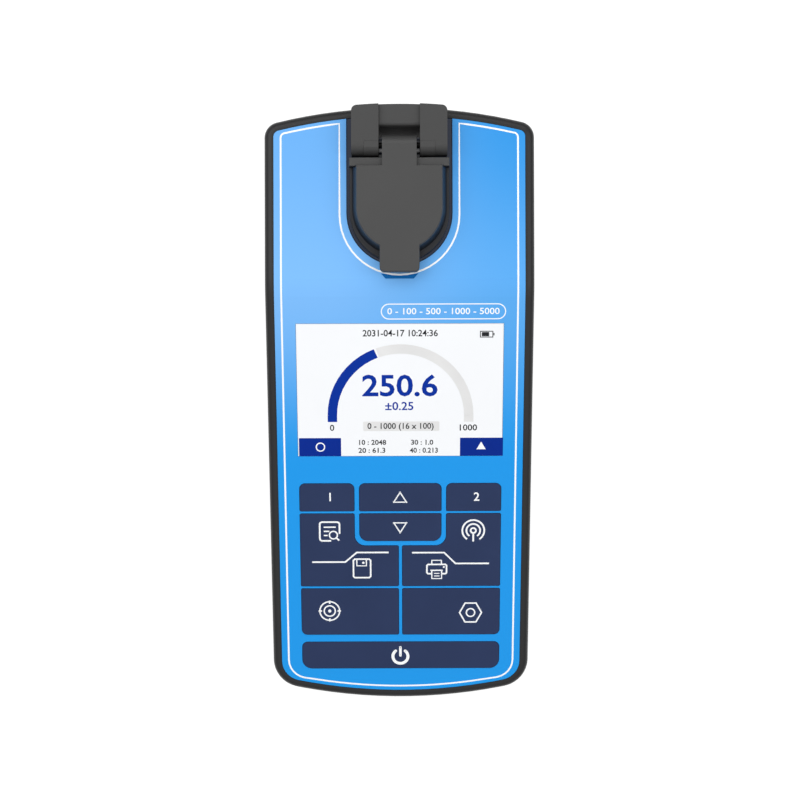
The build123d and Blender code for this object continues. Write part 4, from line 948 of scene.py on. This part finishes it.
@dataclass
class Keypad:
    """Symbols printed on the nine keys."""

    face: Face
    photo: PhotoScale
    slot: str = "key_navy"
    key_top: float = 0.1
    line: float = 0.62
    thin: float = 0.5
    arrow_line: float = 0.86
    paper_line: float = 0.35

    def symbol(self, key: str) -> Print:
        """Start the print of one key."""
        return Print(f"symbol_{key}", INK_WHITE, f"key_{key}", self.slot, self.face, self.key_top)

    def centre(self, name: str) -> tuple[float, float]:
        """Give the place of a symbol across and up the face."""
        return self.photo.slope_place(*SYMBOL_PIXELS[name])

    def build(self) -> None:
        """Print each key's symbol."""
        self.place_keys()
        self.arrows()
        self.view_key()
        self.link_key()
        self.calibrate_key()
        self.settings_key()
        self.power_key()

    def place_keys(self) -> None:
        """Plain numbers on the two small keys."""
        tall, bold = 3.3, 0.05
        for digit in ("1", "2"):
            mark = self.symbol(f"place_{digit}")
            x, up = self.centre(f"place_{digit}")
            mark.number(digit, x, up, tall, bold)
            mark.finish_piece()

    def arrows(self) -> None:
        """Open triangles with rounded corners, one up and one down."""
        half, rise = 2.3, 3.7 / 2
        for key, way in (("up", 1), ("down", -1)):
            mark = self.symbol(key)
            x, up = self.centre(key)
            corners = [(x - half, up - way * rise), (x + half, up - way * rise), (x, up + way * rise)]
            mark.stroke(corners, self.arrow_line, Corner.CLOSED)
            for corner in corners:
                mark.disc(*corner, self.line / 2, 16)
            mark.finish_piece()

    def divider(self, mark: Print, pixels: tuple[tuple[float, float], ...]) -> None:
        """Line with one step, between the two functions of a key."""
        mark.stroke([self.photo.slope_place(*pixel) for pixel in pixels], self.line)

    def view_key(self) -> None:
        """Sheet with a magnifier, divider and storage disk."""
        mark = self.symbol("view")
        self.sheet(mark)
        self.divider(mark, VIEW_DIVIDER_PIXELS)
        self.disk(mark)
        mark.finish_piece()

    def sheet(self, mark: Print) -> None:
        """Sheet with three lines of writing and a magnifier over its open corner."""
        x, up = self.centre("sheet")
        half, bend, dent_x, dent_up = 3.6, 0.8, 0.2, 0.25
        left, right, low, high = x - half, x + half, up - half, up + half
        mark.stroke([
            (x + 0.5, low), (left + bend, low), (left + dent_x, low + dent_up), (left, low + bend),
            (left, high - bend), (left + dent_x, high - dent_up), (left + bend, high),
            (right - bend, high), (right - dent_x, high - dent_up), (right, high - bend), (right, up - 0.9),
        ], self.line)
        margin = x - 2.15
        for rise, reach in ((1.65, 4.4), (0.05, 2.0), (-1.55, 1.4)):
            mark.stroke([(margin, up + rise), (margin + reach, up + rise)], self.thin)
        mark.arc(x + 1.35, up - 1.4, 1.45, self.thin)
        mark.stroke([(x + 2.35, up - 2.4), (x + 3.45, up - 3.5)], self.line)

    def disk(self, mark: Print) -> None:
        """Storage disk with its shutter."""
        x, up = self.centre("disk")
        wide, tall, bend = 3.15, 3.6, 0.5
        mark.stroke([
            (x - wide + bend, up - tall), (x + wide - bend, up - tall), (x + wide, up - tall + bend),
            (x + wide, up + tall - bend), (x + wide - bend, up + tall), (x - wide + bend, up + tall),
            (x - wide, up + tall - bend), (x - wide, up - tall + bend),
        ], self.line, Corner.CLOSED)
        left, right, low = x - 1.9, x + 1.6, up + 1.0
        mark.stroke([(left, up + tall), (left, low), (right, low), (right, up + tall)], self.thin)
        mark.disc(x + 0.5, up + 2.2, 0.45, 16)

    def link_key(self) -> None:
        """Antenna with waves, divider and printer."""
        mark = self.symbol("link")
        self.antenna(mark)
        self.divider(mark, LINK_DIVIDER_PIXELS)
        self.printer(mark)
        mark.finish_piece()

    def antenna(self, mark: Print) -> None:
        """Ring on a stem with two waves round it, open at the bottom."""
        x, up = self.centre("antenna")
        opening = -56, 292
        mark.arc(x, up, 0.95, self.line)
        for radius in (2.5, 4.0):
            mark.arc(x, up, radius, self.line, *opening)
        mark.stroke([(x, up - 1.3), (x, up - 4.2)], self.line)

    def printer(self, mark: Print) -> None:
        """Printer with paper above and below."""
        x, up = self.centre("printer")
        left, right, bend = x - 3.7, x + 3.5, 0.4
        top, bottom, slit = up + 1.9, up - 1.7, up - 0.4
        feed = [(x - 1.9, up + 2.0), (x - 1.9, up + 3.5), (x + 1.6, up + 3.5), (x + 1.6, up + 2.0)]
        mark.stroke(feed, self.thin)
        mark.stroke([
            (x - 1.9, bottom), (left + bend, bottom), (left, bottom + bend), (left, top - bend),
            (left + bend, top), (right - bend, top), (right, top - bend), (right, bottom + bend),
            (right - bend, bottom), (x + 1.7, bottom),
        ], self.line)
        mark.stroke([(x - 2.4, slit), (x + 2.1, slit)], self.thin)
        mark.stroke([(x - 1.9, slit), (x - 1.9, up - 3.6), (x + 1.7, up - 3.6), (x + 1.7, slit)], self.thin)
        for drop in (1.6, 2.6):
            mark.stroke([(x - 1.1, up - drop), (x + 0.9, up - drop)], self.paper_line)
        mark.disc(x + 2.5, up + 0.9, 0.35, 12)

    def calibrate_key(self) -> None:
        """Target with four ticks."""
        mark = self.symbol("calibrate")
        x, up = self.centre("target")
        outer, inner, dot, tick_start, tick_end = 3.65, 2.05, 0.6, 2.9, 4.1
        mark.arc(x, up, outer, self.thin)
        mark.arc(x, up, inner, self.thin)
        mark.disc(x, up, dot, 20)
        for angle in (0, 90, 180, 270):
            across, rise = math.cos(math.radians(angle)), math.sin(math.radians(angle))
            tick = [(x + reach * across, up + reach * rise) for reach in (tick_start, tick_end)]
            mark.stroke(tick, self.line)
        mark.finish_piece()

    def settings_key(self) -> None:
        """Hexagon nut."""
        mark = self.symbol("settings")
        x, up = self.centre("nut")
        radius, rise, bore = 4.05, 4.3, 1.55
        mark.stroke(arc_points(x, up, radius, 0, 300, 5, rise), self.line, Corner.CLOSED)
        mark.arc(x, up, bore, self.thin)
        mark.finish_piece()

    def power_key(self) -> None:
        """Ring open at the top with an upright bar, both with round ends."""
        mark = self.symbol("power")
        x, up = self.centre("power")
        radius, ring_line, start, sweep, ring_end = 2.8, 1.1, 128, 284, 0.5
        mark.arc(x, up, radius, ring_line, start, sweep)
        for angle in (start, start + sweep):
            turn = math.radians(angle)
            mark.disc(x + radius * math.cos(turn), up + radius * math.sin(turn), ring_end, 20)
        bar_line, bar_low, bar_high, bar_end = 0.95, up + 0.35, up + 3.6, 0.47
        mark.stroke([(x, bar_low), (x, bar_high)], bar_line)
        for height in (bar_low, bar_high):
            mark.disc(x, height, bar_end, 20)
        mark.finish_piece()


@dataclass
class Dressing:
    """Gives every CAD node its finish."""

    nodes: dict[str, bpy.types.Object]

    def build(self) -> None:
        """Put a finish on each node that came with the frame."""
        for name, node in self.nodes.items():
            if name.startswith("key_"):
                finish = FILM_NAVY
            elif name.startswith("plunger_"):
                finish = PLUNGER_WHITE
            else:
                finish = NODE_FINISHES[name]
            node.data.materials.clear()
            node.data.materials.append(finish.build())
            LOG.info("dressed %s in %s", name, finish.name)


@dataclass(frozen=True)
class Lamp:
    """Rectangular soft box aimed at the part; place and size in metres, power in watts."""

    name: str
    place: tuple[float, float, float]
    size: tuple[float, float]
    power: float


LAMPS = (
    Lamp("left_box", (-0.55, 0.25, 0.85), (0.5, 0.9), 2.2),
    Lamp("right_box", (0.60, 0.05, 0.85), (0.4, 0.9), 1.6),
    Lamp("rear_box", (-0.10, 0.70, 0.90), (1.0, 0.4), 1.8),
)


@dataclass
class Studio:
    """Floor, soft lamps, world and camera."""

    camera_height: float = 0.640
    camera_y: float = 0.0042
    lens: float = 73.1
    sensor: float = 36.0
    roll: float = -0.0028
    near: float = 0.01
    floor_grey: str = "8C8C8C"
    floor_white: float = 0.86
    floor_roughness: float = 0.9
    floor_size: float = 3.0
    floor_drop: float = 0.0002
    aim_height: float = 0.04
    ceiling_rise: tuple[float, float] = (0.05, 0.62)
    ceiling_light: tuple[float, float] = (0.08, 0.82)

    def build(self) -> None:
        """Set up the floor, the lamps, the world and the camera."""
        self.floor()
        self.lamps()
        self.world()
        self.camera()
        bpy.context.scene.view_settings.view_transform = "Standard"

    def pale_when_seen(self, tree: bpy.types.NodeTree, shader: bpy.types.NodeSocket) -> bpy.types.NodeSocket:
        """Add enough plain white for the camera and for reflections that only a faint shadow is left.

        Args:
            tree: The floor material's node tree.
            shader: The floor's own shader.

        Returns:
            A shader socket.
        """
        path = add_node(tree, "ShaderNodeLightPath")
        seen = path.outputs["Is Camera Ray"]
        for kind in ("Is Glossy Ray", "Is Transmission Ray"):
            seen = work_out(tree, "MAXIMUM", seen, path.outputs[kind])
        level = work_out(tree, "MULTIPLY", seen, self.floor_white)
        white = add_node(tree, "ShaderNodeEmission", {"Color": (1, 1, 1, 1)}, {"Strength": level})
        both = add_node(tree, "ShaderNodeAddShader")
        tree.links.new(shader, both.inputs[0])
        tree.links.new(white.outputs["Emission"], both.inputs[1])
        return both.outputs["Shader"]

    def floor(self) -> None:
        """Wide pale floor under the feet."""
        mesh = bmesh.new()
        bmesh.ops.create_grid(mesh, x_segments=1, y_segments=1, size=self.floor_size)
        data = bpy.data.meshes.new("floor")
        mesh.to_mesh(data)
        mesh.free()
        floor = bpy.data.objects.new("floor", data)
        bpy.context.scene.collection.objects.link(floor)
        floor.location.z = -self.floor_drop
        material = bpy.data.materials.new("pale_floor")
        material.use_nodes = True
        tree = material.node_tree
        shader = tree.nodes["Principled BSDF"]
        shader.inputs["Base Color"].default_value = srgb(self.floor_grey)
        shader.inputs["Roughness"].default_value = self.floor_roughness
        output = tree.nodes["Material Output"]
        tree.links.new(self.pale_when_seen(tree, shader.outputs["BSDF"]), output.inputs["Surface"])
        data.materials.append(material)

    def lamps(self) -> None:
        """Place the soft boxes and aim them at the part."""
        for box in LAMPS:
            data = bpy.data.lights.new(box.name, "AREA")
            data.shape = "RECTANGLE"
            data.size, data.size_y = box.size
            data.energy = box.power
            lamp = bpy.data.objects.new(box.name, data)
            lamp.location = box.place
            aim = Vector((0, 0, self.aim_height)) - Vector(box.place)
            lamp.rotation_euler = aim.to_track_quat("-Z", "Y").to_euler()
            bpy.context.scene.collection.objects.link(lamp)

    def world(self) -> None:
        """White surroundings to the camera; for light, a bright ceiling that falls off to a dim horizon."""
        world = bpy.data.worlds.new("studio")
        world.use_nodes = True
        tree = world.node_tree
        path = add_node(tree, "ShaderNodeLightPath")
        way = add_node(tree, "ShaderNodeTexCoord").outputs["Generated"]
        split = add_node(tree, "ShaderNodeSeparateXYZ", links={"Vector": way})
        ceiling = smooth_fade(tree, split.outputs["Z"], self.ceiling_rise, self.ceiling_light)
        strength = work_out(tree, "MAXIMUM", ceiling, path.outputs["Is Camera Ray"])
        background = tree.nodes["Background"]
        background.inputs["Color"].default_value = (1, 1, 1, 1)
        tree.links.new(strength, background.inputs["Strength"])
        bpy.context.scene.world = world

    def camera(self) -> None:
        """Camera straight above, as in the photograph."""
        data = bpy.data.cameras.new("camera")
        data.lens = self.lens
        data.sensor_width = self.sensor
        data.sensor_fit = "HORIZONTAL"
        data.clip_start = self.near
        camera = bpy.data.objects.new("camera", data)
        camera.location = (0.0, self.camera_y, self.camera_height)
        camera.rotation_euler.z = self.roll
        bpy.context.scene.collection.objects.link(camera)
        bpy.context.scene.camera = camera


def main() -> None:
    """Build the looks in order."""
    logging.basicConfig(level=logging.INFO, format="%(message)s")
    for old in list(bpy.data.objects):
        bpy.data.objects.remove(old)
    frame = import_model()
    Studio().build()
    face = Face()
    photo = PhotoScale(face)
    Dressing(frame["nodes"]).build()
    FaceGraphics(face).build()
    Screen(face, photo).build()
    Keypad(face, photo).build()


if __name__ == "__main__":
    main()
